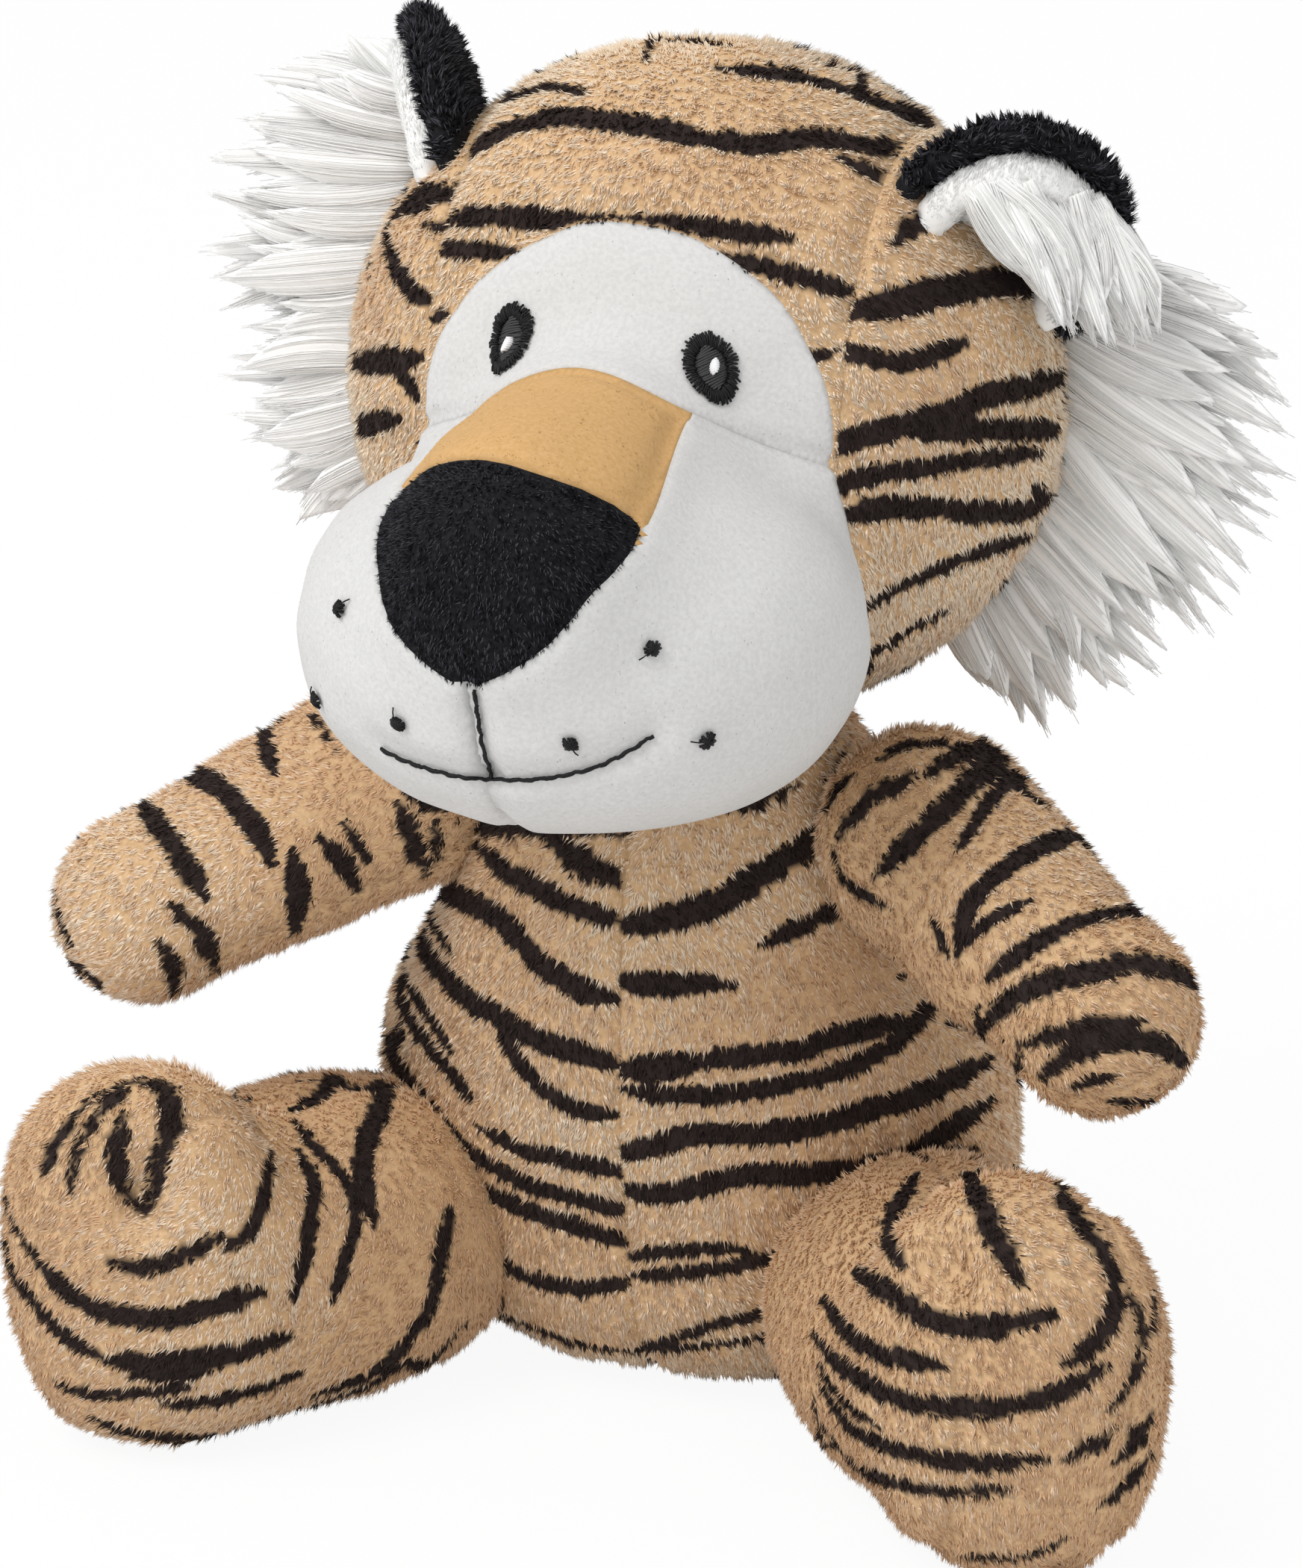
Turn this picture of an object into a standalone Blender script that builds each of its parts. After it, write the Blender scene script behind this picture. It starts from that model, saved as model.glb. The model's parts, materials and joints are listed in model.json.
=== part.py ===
"""A seated plush tiger, modelled the way the sewn toy is made: fabric panels over soft fillings.

Units are metres, +Z is up, the face looks along -Y and the toy's left is +X. The origin lies under
the body, on the floor. Each soft form is one smooth union of rounded masses. Its fabric panels are
the outer layer of that form, cut at the seams, and its filling is the same form drawn in. The head
turns on the neck, the arms lift, the legs splay and the tail wags, each on a ball in a socket.
"""

import math

import bmesh
import bpy
from mathutils import Matrix, Vector
from mathutils.bvhtree import BVHTree

# Fabric, seams and clearances
FABRIC_THICKNESS = 0.0016
GAP = 0.0003
SOCKET_CLEARANCE = 0.0008
OVERRUN = 0.3
MERGE_DISTANCE = 0.000001
FLOOR_FLAT_DEPTH = 0.0005

# Body
BODY_WIDTH = 0.110
BODY_DEPTH = 0.076
BODY_HEIGHT = 0.118
BODY_BLEND = 0.016
BASE_PANEL_RISE = 0.003
SIDE_SEAM_SHARE = 0.03

# Head, above the flat neck joint at BODY_HEIGHT
HEAD_WIDTH = 0.118
HEAD_DEPTH = 0.100
HEAD_HEIGHT = 0.111
HEAD_BLEND = 0.010
MUZZLE_WIDTH = 0.090
MUZZLE_DEPTH = 0.084
MUZZLE_HEIGHT = 0.060
BRIDGE_WIDTH = 0.045
BRIDGE_DEPTH = 0.084
BRIDGE_HEIGHT = 0.046
FOREHEAD_PANEL_WIDTH = 0.068
NOSE_WIDTH = 0.039
NOSE_HEIGHT = 0.031

# Embroidery
EYE_WIDTH = 0.0072
EYE_HEIGHT = 0.0112
EYE_SPACING = 0.0326
EYE_HIGHLIGHT_DIAMETER = 0.0026
EMBROIDERY_THICKNESS = 0.0007
STITCH_DIAMETER = 0.0009
MOUTH_WIDTH = 0.043
WHISKER_DOT_DIAMETER = 0.0028

# Ears and mane
EAR_WIDTH = 0.040
EAR_HEIGHT = 0.046
EAR_CUP_DEPTH = 0.015
MANE_LENGTH = 0.054
MANE_HEIGHT = 0.078
MANE_THICKNESS = 0.014

# Arms
ARM_LENGTH = 0.062
ARM_ROOT_DIAMETER = 0.038
PAW_DIAMETER = 0.032
ARM_BLEND = 0.012

# Legs
LEG_LENGTH = 0.0645
LEG_ROOT_WIDTH = 0.056
LEG_ROOT_HEIGHT = 0.060
FOOT_WIDTH = 0.049
FOOT_LENGTH = 0.037
FOOT_HEIGHT = 0.066
LEG_BLEND = 0.012
FOOT_PANEL_WIDTH = 0.026

# Tail
TAIL_LENGTH = 0.052
TAIL_DIAMETER = 0.0145

# Directions and counts
ARM_HEADING = math.radians(-35.0)
ARM_DROP = math.radians(20.0)
ARM_SEAM_TILT = math.radians(30.0)
LEG_HEADING = math.radians(-58.0)
FACE_SEAM_TILT = math.radians(4.0)
MUZZLE_SEAM_TILT = math.radians(38.0)
BODY_FACETS = (20, 12)
HEAD_FACETS = (22, 14)
LIMB_FACETS = (14, 10)
SOCKET_FACETS = (16, 10)
EAR_FACETS = (12, 8)
DOT_FACETS = (6, 4)
OVAL_SIDES = 12
LIP_POINTS = 4
SEARCH_STEPS = 40
LEAST_REACH_SHARE = 0.000001

# Rounded masses: centre and half sizes in shares of the width, depth and height that they follow,
# then how square the mass is along one axis, where 2 is an ellipse, and that axis
ALONG_DEPTH, ALONG_HEIGHT = 1, 2
BODY_HEART_SHARES = (0.0, -0.05, 0.45)
BODY_MASS_SHARES = (
    ((0.0, 0.0, 0.340), (0.5, 0.5, 0.34424), 3.0, ALONG_HEIGHT),
    ((0.0, -0.105, 0.66), (0.36, 0.447, 0.44), 2.0, ALONG_HEIGHT),
)
SKULL_MASS_SHARES = (((0.0, 0.03, 0.435), (0.5, 0.5, 0.5), 2.0, ALONG_HEIGHT),)
MUZZLE_MASS_SHARES = (((0.0, -0.675, 0.42), (0.5, 0.5, 0.5), 2.2, ALONG_HEIGHT),)
BRIDGE_MASS_SHARES = (((0.0, -0.735, 0.955), (0.5, 0.5, 0.5), 3.0, ALONG_DEPTH),)
HEAD_HEART_SHARES = (0.0, -0.22, 0.37)

# Each ear's own lean: the direction of its width and of its height. The left one has flopped forward
EAR_AXES = {
    "left": (Vector((0.85, 0.45, -0.25)), Vector((0.25, -0.3, 0.9))),
    "right": (Vector((0.33, -0.93, -0.04)), Vector((0.12, 0.0, 0.99))),
}

# The nose's half outline from its top centre to its foot, in shares of its width and height
NOSE_OUTLINE_SHARES = (
    (0.0, 0.5),
    (0.26, 0.47),
    (0.43, 0.34),
    (0.5, 0.12),
    (0.45, -0.12),
    (0.30, -0.33),
    (0.12, -0.47),
)

# Places in shares of the sizes that carry them
NECK_DEPTH_SHARE = -0.06
FACE_SEAM_SHARES = (-0.385, 0.54)
MUZZLE_SEAM_HEIGHT_SHARE = 0.435
THROAT_SHARES = (0.0, 0.30)
CHIN_SHARE = -0.41
EAR_THINNING_SHARE = 0.6
EAR_SPACE_STEPS = 0.5
NOSE_CENTRE_SHARE = 0.405
NOSE_BACK_SHARE = -0.80
BRIDGE_FOOT_SHARE = 0.05
BRIDGE_PANEL_SHARE = 0.49
EYE_HEIGHT_SHARE = 0.595
EAR_PLACE_SHARES = {"left": (0.42, -0.03, 0.71), "right": (-0.37, 0.02, 0.745)}
MANE_PLACE_SHARES = {"left": (0.55, 0.08, 0.395), "right": (0.535, 0.08, 0.50)}
ARM_PLACE_SHARES = (0.41, -0.26, 0.855)
LEG_PLACE_SHARES = (0.43, -0.37, 0.280)
SHIN_SHARE = 0.80
SHIN_PLACE_SHARE = 0.42
FOOT_SQUARENESS = 2.4
FOOT_PANEL_SHARE = 0.95
HEEL_SHARE = 0.1
SOLE_SHARE = 0.12
LIMB_HEART_SHARE = 0.5
TAIL_PLACE_SHARES = (0.0, 0.49, 0.125)
MOUTH_SHARES = (
    (-0.5, 0.08),
    (-0.38, 0.01),
    (-0.24, -0.04),
    (-0.10, -0.045),
    (0.0, 0.0),
    (0.10, -0.045),
    (0.24, -0.04),
    (0.38, 0.01),
    (0.5, 0.08),
)
MOUTH_HEIGHT_SHARE = 0.16
WHISKER_SHARES = ((0.145, 0.385), (0.263, 0.628), (0.33, 0.365))
TAIL_ROUTE_SHARES = (
    (0.0, 0.0, 0.0),
    (0.0, 0.25, -0.10),
    (-0.07, 0.50, -0.13),
    (-0.22, 0.72, -0.13),
    (-0.42, 0.88, -0.13),
    (-0.47, 0.91, -0.13),
)
TAIL_RADIUS_SHARES = (1.0, 1.0, 0.97, 0.95, 0.75, 0.3)
TAIL_BALL_SHARES = (0.48, 0.33, 0.17)
TAIL_BALL_RADIUS_SHARES = (0.3, 0.75, 0.94)

# Roughness of fabric and of thread, then colours in linear light
FABRIC_ROUGHNESS = 0.9
THREAD_ROUGHNESS = 0.6
TAN = (0.60, 0.40, 0.21)
BRIDGE_TAN = (0.64, 0.38, 0.16)
WHITE = (0.80, 0.79, 0.77)
BLACK = (0.014, 0.014, 0.017)
THREAD_BLACK = (0.010, 0.010, 0.011)
THREAD_WHITE = (0.88, 0.88, 0.88)
FILLING_WHITE = (0.85, 0.85, 0.84)
MANE_WHITE = (0.86, 0.86, 0.84)


def clear_scene():
    for item in list(bpy.data.objects):
        bpy.data.objects.remove(item, do_unlink=True)


def new_collection(name):
    collection = bpy.data.collections.new(name)
    bpy.context.scene.collection.children.link(collection)
    return collection


def plush_material(name, colour, roughness):
    """A matte fabric in one colour, with its own material for each sub-part."""
    material = bpy.data.materials.new(name)
    material.use_nodes = True
    shader = material.node_tree.nodes["Principled BSDF"]
    shader.inputs["Base Color"].default_value = (*colour, 1.0)
    shader.inputs["Roughness"].default_value = roughness
    shader.inputs["Metallic"].default_value = 0.0
    material.diffuse_color = (*colour, 1.0)
    return material


def add_part(name, data, pivot=None):
    """Put a finished sub-part in the toy's collection, under the pivot that moves it."""
    part = bpy.data.objects.new(name, data)
    TOY.objects.link(part)
    if pivot is not None:
        part.parent = pivot
        part.matrix_parent_inverse = Matrix.Translation(-pivot.location)
    return part


def add_cutter(name, data):
    cutter = bpy.data.objects.new(name, data)
    CUTTERS.objects.link(cutter)
    cutter.hide_render = True
    cutter.display_type = "WIRE"
    return cutter


def add_pivot(name, place):
    """An empty on a joint's axis, which carries the sub-parts that move together."""
    pivot = bpy.data.objects.new(name, None)
    TOY.objects.link(pivot)
    pivot.location = place
    pivot.empty_display_size = TAIL_DIAMETER
    return pivot


def set_material(part, colour, roughness=FABRIC_ROUGHNESS):
    part.data.materials.clear()
    part.data.materials.append(plush_material(part.name, colour, roughness))


def scaled(shares, sizes):
    return Vector(tuple(share * size for share, size in zip(shares, sizes)))


def masses(table, sizes, base_height=0.0):
    """Rounded masses in metres from a table of shares."""
    rise = Vector((0.0, 0.0, base_height))
    form = []
    for centre, half, power, axis in table:
        form.append((scaled(centre, sizes) + rise, scaled(half, sizes), power, axis))
    return form


def outside_distance(point, form, blend):
    """How far a point lies outside the smooth union of rounded masses, negative inside it."""
    total = None
    for centre, half, power, axis in form:
        offset = point - centre
        ratios = [abs(length / size) for length, size in zip(offset, half)]
        along = ratios.pop(axis)
        reach = (math.hypot(*ratios) ** power + along**power) ** (1.0 / power)
        distance = offset.length * (1.0 - 1.0 / max(reach, LEAST_REACH_SHARE))
        if total is None:
            total = distance
            continue
        mix = max(blend - abs(total - distance), 0.0) / blend
        total = min(total, distance) - mix * mix * blend / 4.0
    return total


def surface_point(heart, direction, form, blend):
    """The point where a ray from the heart of a form leaves it."""
    near, far = 0.0, OVERRUN
    for _ in range(SEARCH_STEPS):
        middle = (near + far) / 2.0
        if outside_distance(heart + direction * middle, form, blend) < 0.0:
            near = middle
        else:
            far = middle
    return heart + direction * near


def form_mesh(name, form, blend, heart, pole, facets):
    """A UV sphere whose points are moved out to the surface of the form, its pole on an axis."""
    turn = Vector((0.0, 0.0, 1.0)).rotation_difference(pole).to_matrix()
    shape = bmesh.new()
    bmesh.ops.create_uvsphere(shape, u_segments=facets[0], v_segments=facets[1], radius=1.0)
    for vertex in shape.verts:
        vertex.co = surface_point(heart, (turn @ vertex.co).normalized(), form, blend)
    bmesh.ops.triangulate(shape, faces=shape.faces)
    bmesh.ops.recalc_face_normals(shape, faces=shape.faces)
    mesh = bpy.data.meshes.new(name)
    shape.to_mesh(mesh)
    shape.free()
    return mesh


def displace(part, distance):
    """Move a closed form's surface out along its normals, or in where the distance is negative."""
    modifier = part.modifiers.new("draw_in", "DISPLACE")
    modifier.direction = "NORMAL"
    modifier.mid_level = 0.0
    modifier.strength = distance


def thicken(part, thickness):
    modifier = part.modifiers.new("fabric", "SOLIDIFY")
    modifier.thickness = thickness
    modifier.offset = -1.0


def boolean(part, operation, cutter):
    modifier = part.modifiers.new(operation.lower(), "BOOLEAN")
    modifier.operation = operation
    modifier.solver = "EXACT"
    modifier.object = cutter


def panel(name, mesh, region, colour, pivot=None, minus=()):
    """A fabric panel: the outer layer of a form inside one region, less the cutters named."""
    part = add_part(name, mesh.copy(), pivot)
    thicken(part, FABRIC_THICKNESS)
    boolean(part, "INTERSECT", region)
    for cutter in minus:
        boolean(part, "DIFFERENCE", cutter)
    set_material(part, colour)
    return part


def filling(name, mesh, pivot=None, minus=()):
    """The stuffing of a form, drawn in from its fabric by one gap."""
    part = add_part(name, mesh.copy(), pivot)
    displace(part, -FABRIC_THICKNESS - GAP)
    for cutter in minus:
        boolean(part, "DIFFERENCE", cutter)
    set_material(part, FILLING_WHITE)
    return part


def patch(name, mesh, height, thickness, region, colour, pivot):
    """Embroidery: a thin layer at a height above a form, inside one region."""
    part = add_part(name, mesh.copy(), pivot)
    displace(part, height + thickness)
    thicken(part, thickness)
    boolean(part, "INTERSECT", region)
    set_material(part, colour, THREAD_ROUGHNESS)
    return part


def prism(name, outline, low, high, axis):
    """A closed prism: an outline in the other two axes, run along one axis from low to high."""
    order = {"X": (2, 0, 1), "Y": (0, 2, 1), "Z": (0, 1, 2)}[axis]
    shape = bmesh.new()
    ring = []
    for first, second in outline:
        place = (first, second, low)
        ring.append(shape.verts.new(tuple(place[index] for index in order)))
    face = shape.faces.new(ring)
    run = bmesh.ops.extrude_face_region(shape, geom=[face])
    moved = [item for item in run["geom"] if isinstance(item, bmesh.types.BMVert)]
    step = tuple((0.0, 0.0, high - low)[index] for index in order)
    bmesh.ops.translate(shape, verts=moved, vec=step)
    bmesh.ops.recalc_face_normals(shape, faces=shape.faces)
    mesh = bpy.data.meshes.new(name)
    shape.to_mesh(mesh)
    shape.free()
    return add_cutter(name, mesh)


def rectangle(left, right, low, high):
    return ((left, low), (right, low), (right, high), (left, high))


def cutter_box(name, low, high):
    return prism(name, rectangle(low[0], high[0], low[1], high[1]), low[2], high[2], "Z")


def ball_mesh(name, centre, half, facets, turn=None):
    """An ellipsoid from a UV sphere, turned on its centre."""
    place = Matrix.Translation(centre) @ (turn or Matrix.Identity(4))
    shape = bmesh.new()
    bmesh.ops.create_uvsphere(shape, u_segments=facets[0], v_segments=facets[1], radius=1.0)
    bmesh.ops.transform(shape, matrix=place @ Matrix.Diagonal((*half, 1.0)), verts=shape.verts)
    bmesh.ops.recalc_face_normals(shape, faces=shape.faces)
    mesh = bpy.data.meshes.new(name)
    shape.to_mesh(mesh)
    shape.free()
    return mesh


def heading_vector(heading, drop=0.0):
    """A direction by its angle round +Z from +X and its fall below level."""
    level = math.cos(drop)
    return Vector((level * math.cos(heading), level * math.sin(heading), -math.sin(drop)))


def mirrored(place, side):
    return Vector((place[0] * side, place[1], place[2]))


def curve_mesh(name, points, radii, thickness, facets=2):
    """A tube along points with a radius share at each, as a closed mesh."""
    curve = bpy.data.curves.new(name, "CURVE")
    curve.dimensions = "3D"
    curve.bevel_depth = thickness / 2.0
    curve.bevel_resolution = facets
    curve.use_fill_caps = True
    spline = curve.splines.new("POLY")
    spline.points.add(len(points) - 1)
    for point, place, radius in zip(spline.points, points, radii):
        point.co = (*place, 1.0)
        point.radius = radius
    holder = add_cutter(name + "_route", curve)
    bpy.context.view_layer.update()
    evaluated = holder.evaluated_get(bpy.context.evaluated_depsgraph_get())
    mesh = bpy.data.meshes.new_from_object(evaluated)
    bpy.data.objects.remove(holder, do_unlink=True)
    shape = bmesh.new()
    shape.from_mesh(mesh)
    bmesh.ops.remove_doubles(shape, verts=shape.verts, dist=MERGE_DISTANCE)
    bmesh.ops.recalc_face_normals(shape, faces=shape.faces)
    shape.to_mesh(mesh)
    shape.free()
    return mesh


def skin_place(skin, across, up):
    """The point on the front of the head at a place across and up, and the outward direction there."""
    start = Vector((across, -OVERRUN, up))
    place, normal, _, _ = skin.ray_cast(start, Vector((0.0, 1.0, 0.0)))
    return place, normal


def raised_place(skin, across, up, height):
    place, normal = skin_place(skin, across, up)
    return place + normal * height


def build_body():
    """Four upright fabric panels and a flat base over one filling, with sockets for the limbs."""
    sizes = (BODY_WIDTH, BODY_DEPTH, BODY_HEIGHT)
    form = masses(BODY_MASS_SHARES, sizes)
    heart = scaled(BODY_HEART_SHARES, sizes)
    mesh = form_mesh("body_form", form, BODY_BLEND, heart, Vector((0.0, 0.0, 1.0)), BODY_FACETS)
    sockets = build_sockets()
    half_gap = GAP / 2.0
    top = BODY_HEIGHT - half_gap
    side_seam = SIDE_SEAM_SHARE * BODY_DEPTH
    for side, word in ((1.0, "left"), (-1.0, "right")):
        edge = sorted((half_gap * side, OVERRUN * side))
        low = (edge[0], -OVERRUN, BASE_PANEL_RISE + half_gap)
        high = (edge[1], side_seam - half_gap, top)
        front = cutter_box(f"body_front_{word}_region", low, high)
        panel(f"body_front_{word}", mesh, front, TAN, minus=(sockets,))
        low = (edge[0], side_seam + half_gap, BASE_PANEL_RISE + half_gap)
        high = (edge[1], OVERRUN, top)
        back = cutter_box(f"body_back_{word}_region", low, high)
        panel(f"body_back_{word}", mesh, back, TAN, minus=(sockets,))
    low = (-OVERRUN, -OVERRUN, 0.0)
    high = (OVERRUN, OVERRUN, BASE_PANEL_RISE - half_gap)
    base = cutter_box("base_region", low, high)
    panel("base_panel", mesh, base, TAN)
    above_neck = cutter_box("above_neck", (-OVERRUN, -OVERRUN, top), (OVERRUN, OVERRUN, OVERRUN))
    filling("body_filling", mesh, minus=(above_neck, sockets))


def even_half(diameter):
    return Vector((diameter, diameter, diameter)) / 2.0


def leg_root_half():
    return Vector((LEG_ROOT_WIDTH, LEG_ROOT_WIDTH, LEG_ROOT_HEIGHT)) / 2.0


def socket_balls():
    """The centre and half sizes of each ball that a limb turns on."""
    balls = [(tail_place(), even_half(TAIL_DIAMETER))]
    for side in (1.0, -1.0):
        balls.append((arm_place(side), even_half(ARM_ROOT_DIAMETER)))
        balls.append((leg_place(side), leg_root_half()))
    return balls


def build_sockets():
    """One cutter with a ball for each limb, a clearance larger than the limb's own."""
    shape = bmesh.new()
    for centre, half in socket_balls():
        size = Matrix.Diagonal((*(half + even_half(2.0 * SOCKET_CLEARANCE)), 1.0))
        bmesh.ops.create_uvsphere(
            shape,
            u_segments=SOCKET_FACETS[0],
            v_segments=SOCKET_FACETS[1],
            radius=1.0,
            matrix=Matrix.Translation(centre) @ size,
        )
    mesh = bpy.data.meshes.new("limb_sockets")
    shape.to_mesh(mesh)
    shape.free()
    return add_cutter("limb_sockets", mesh)


def arm_place(side):
    return mirrored(scaled(ARM_PLACE_SHARES, (BODY_WIDTH, BODY_DEPTH, BODY_HEIGHT)), side)


def leg_place(side):
    place = scaled(LEG_PLACE_SHARES, (BODY_WIDTH, BODY_DEPTH, BODY_HEIGHT))
    return mirrored(place, side)


def tail_place():
    return scaled(TAIL_PLACE_SHARES, (BODY_WIDTH, BODY_DEPTH, BODY_HEIGHT))


def build_arm(side, word):
    """An upper and a lower panel over a filling, swinging on a ball at the shoulder."""
    shoulder = arm_place(side)
    pivot = add_pivot(f"shoulder_{word}", shoulder)
    along = mirrored(heading_vector(ARM_HEADING, ARM_DROP), side)
    root = ARM_ROOT_DIAMETER / 2.0
    paw = PAW_DIAMETER / 2.0
    reach = ARM_LENGTH - paw
    middle = (root + paw) / 2.0
    form = [
        (shoulder, Vector((root, root, root)), 2.0, ALONG_HEIGHT),
        (shoulder + along * reach / 2.0, Vector((middle, middle, middle)), 2.0, ALONG_HEIGHT),
        (shoulder + along * reach, Vector((paw, paw, paw)), 2.0, ALONG_HEIGHT),
    ]
    heart = shoulder + along * reach * LIMB_HEART_SHARE
    mesh = form_mesh(f"arm_{word}_form", form, ARM_BLEND, heart, along, LIMB_FACETS)
    across = along.cross(Vector((0.0, 0.0, 1.0))).normalized()
    up = across.cross(along)
    normal = (Matrix.Rotation(ARM_SEAM_TILT * side, 4, along) @ up).normalized()
    for part_word, direction in (("upper", 1.0), ("lower", -1.0)):
        region = half_space(f"arm_{word}_{part_word}_region", shoulder, normal * direction)
        panel(f"arm_{word}_{part_word}_panel", mesh, region, TAN, pivot)
    filling(f"arm_{word}_filling", mesh, pivot)


def half_space(name, place, normal):
    """A large box on one side of a plane, half a gap away from it."""
    turn = Vector((0.0, 0.0, 1.0)).rotation_difference(normal).to_matrix().to_4x4()
    cutter = cutter_box(name, (-OVERRUN, -OVERRUN, GAP / 2.0), (OVERRUN, OVERRUN, OVERRUN))
    cutter.data.transform(Matrix.Translation(place) @ turn)
    return cutter


def build_leg(side, word):
    """An inner, an outer and a foot panel over a filling, splaying on a ball at the hip."""
    hip = leg_place(side)
    pivot = add_pivot(f"hip_{word}", hip)
    along = mirrored(heading_vector(LEG_HEADING), side)
    rise = FOOT_HEIGHT / 2.0 - FLOOR_FLAT_DEPTH
    foot_half = Vector((FOOT_WIDTH / 2.0, FOOT_LENGTH / 2.0, FOOT_HEIGHT / 2.0))
    shin_half = foot_half * SHIN_SHARE
    reach = LEG_LENGTH - foot_half.y
    shin = hip + along * reach * SHIN_PLACE_SHARE
    shin.z = shin_half.z - FLOOR_FLAT_DEPTH
    foot = hip + along * reach
    foot.z = rise
    form = [
        (hip, leg_root_half(), 2.0, ALONG_HEIGHT),
        (shin, Vector((foot_half.x, foot_half.x, shin_half.z)), FOOT_SQUARENESS, ALONG_HEIGHT),
        (foot, foot_half, FOOT_SQUARENESS, ALONG_HEIGHT),
    ]
    heart = hip + along * reach * LIMB_HEART_SHARE
    upright = Vector((0.0, 0.0, 1.0))
    mesh = form_mesh(f"leg_{word}_form", form, LEG_BLEND, heart, upright, LIMB_FACETS)
    outward = along.cross(upright) * -side
    floor = cutter_box(f"leg_{word}_floor", (-OVERRUN, -OVERRUN, -OVERRUN), (OVERRUN, OVERRUN, 0.0))
    strip = foot_strip(f"foot_{word}_strip", hip, along, FOOT_PANEL_WIDTH + 2.0 * GAP)
    inner = half_space(f"leg_{word}_inner_region", hip, -outward)
    outer = half_space(f"leg_{word}_outer_region", hip, outward)
    sole = foot_strip(f"foot_{word}_region", hip, along, FOOT_PANEL_WIDTH)
    panel(f"leg_{word}_inner_panel", mesh, inner, TAN, pivot, minus=(strip,))
    panel(f"leg_{word}_outer_panel", mesh, outer, TAN, pivot, minus=(strip,))
    panel(f"foot_{word}_panel", mesh, sole, TAN, pivot, minus=(floor,))
    filling(f"leg_{word}_filling", mesh, pivot)


def foot_strip(name, hip, along, width):
    """The strip that runs from the ankle over the toes and back under the sole."""
    ankle = LEG_LENGTH - FOOT_LENGTH * FOOT_PANEL_SHARE
    heel = -LEG_LENGTH * HEEL_SHARE
    sole_rise = FOOT_HEIGHT * SOLE_SHARE
    outline = (
        (heel, -OVERRUN),
        (OVERRUN, -OVERRUN),
        (OVERRUN, OVERRUN),
        (ankle, OVERRUN),
        (ankle, sole_rise),
        (heel, sole_rise),
    )
    cutter = prism(name, outline, -width / 2.0, width / 2.0, "X")
    turn = Vector((0.0, 1.0, 0.0)).rotation_difference(along).to_matrix().to_4x4()
    place = Matrix.Translation((hip.x, hip.y, 0.0))
    cutter.data.transform(place @ turn)
    return cutter


def build_head():
    """Forehead, sides, face, muzzle, bridge and nose panels over one filling, turning on the neck."""
    pivot = add_pivot("neck", (0.0, NECK_DEPTH_SHARE * HEAD_DEPTH, BODY_HEIGHT))
    heart = scaled(HEAD_HEART_SHARES, (HEAD_WIDTH, HEAD_DEPTH, HEAD_HEIGHT))
    heart.z += BODY_HEIGHT
    forward = Vector((0.0, -1.0, 0.0))
    mesh = form_mesh("head_form", HEAD_FORM, HEAD_BLEND, heart, forward, HEAD_FACETS)
    space = add_cutter("head_space", mesh.copy())
    displace(space, GAP)
    floor = BODY_HEIGHT + GAP / 2.0
    chin = CHIN_SHARE * HEAD_DEPTH
    below_neck = cutter_box("below_neck", (-OVERRUN, chin, -OVERRUN), (OVERRUN, OVERRUN, floor))
    build_crown(mesh, pivot, chin, floor, below_neck)
    build_face(mesh, pivot)
    filling("head_filling", mesh, pivot, minus=(below_neck,))
    build_embroidery(mesh, pivot)
    for side, word in ((1.0, "left"), (-1.0, "right")):
        build_ear(word, pivot, space)
        build_mane(side, word, pivot, space)


def build_crown(mesh, pivot, chin, floor, below_neck):
    """The forehead panel, which runs over the top to the neck, and a panel on each side of it."""
    behind = face_seam(GAP / 2.0)
    upper, lower = behind
    throat = (THROAT_SHARES[0] * HEAD_DEPTH, BODY_HEIGHT + THROAT_SHARES[1] * HEAD_HEIGHT)
    gusset = (
        upper,
        seam_place(behind, throat[1]),
        throat,
        (throat[0], -OVERRUN),
        (OVERRUN, -OVERRUN),
        (OVERRUN, upper[1]),
    )
    wide = FOREHEAD_PANEL_WIDTH / 2.0
    region = prism("forehead_region", gusset, -wide, wide, "X")
    panel("forehead_panel", mesh, region, TAN, pivot, minus=(below_neck,))
    space = prism("forehead_space", grown_gusset(gusset), -wide - GAP, wide + GAP, "X")
    back = (upper, lower, (chin, lower[1]), (chin, floor), (OVERRUN, floor), (OVERRUN, upper[1]))
    for word, low, high in half_widths():
        region = prism(f"side_{word}_region", back, low, high, "X")
        panel(f"side_panel_{word}", mesh, region, TAN, pivot, minus=(space,))


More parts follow.
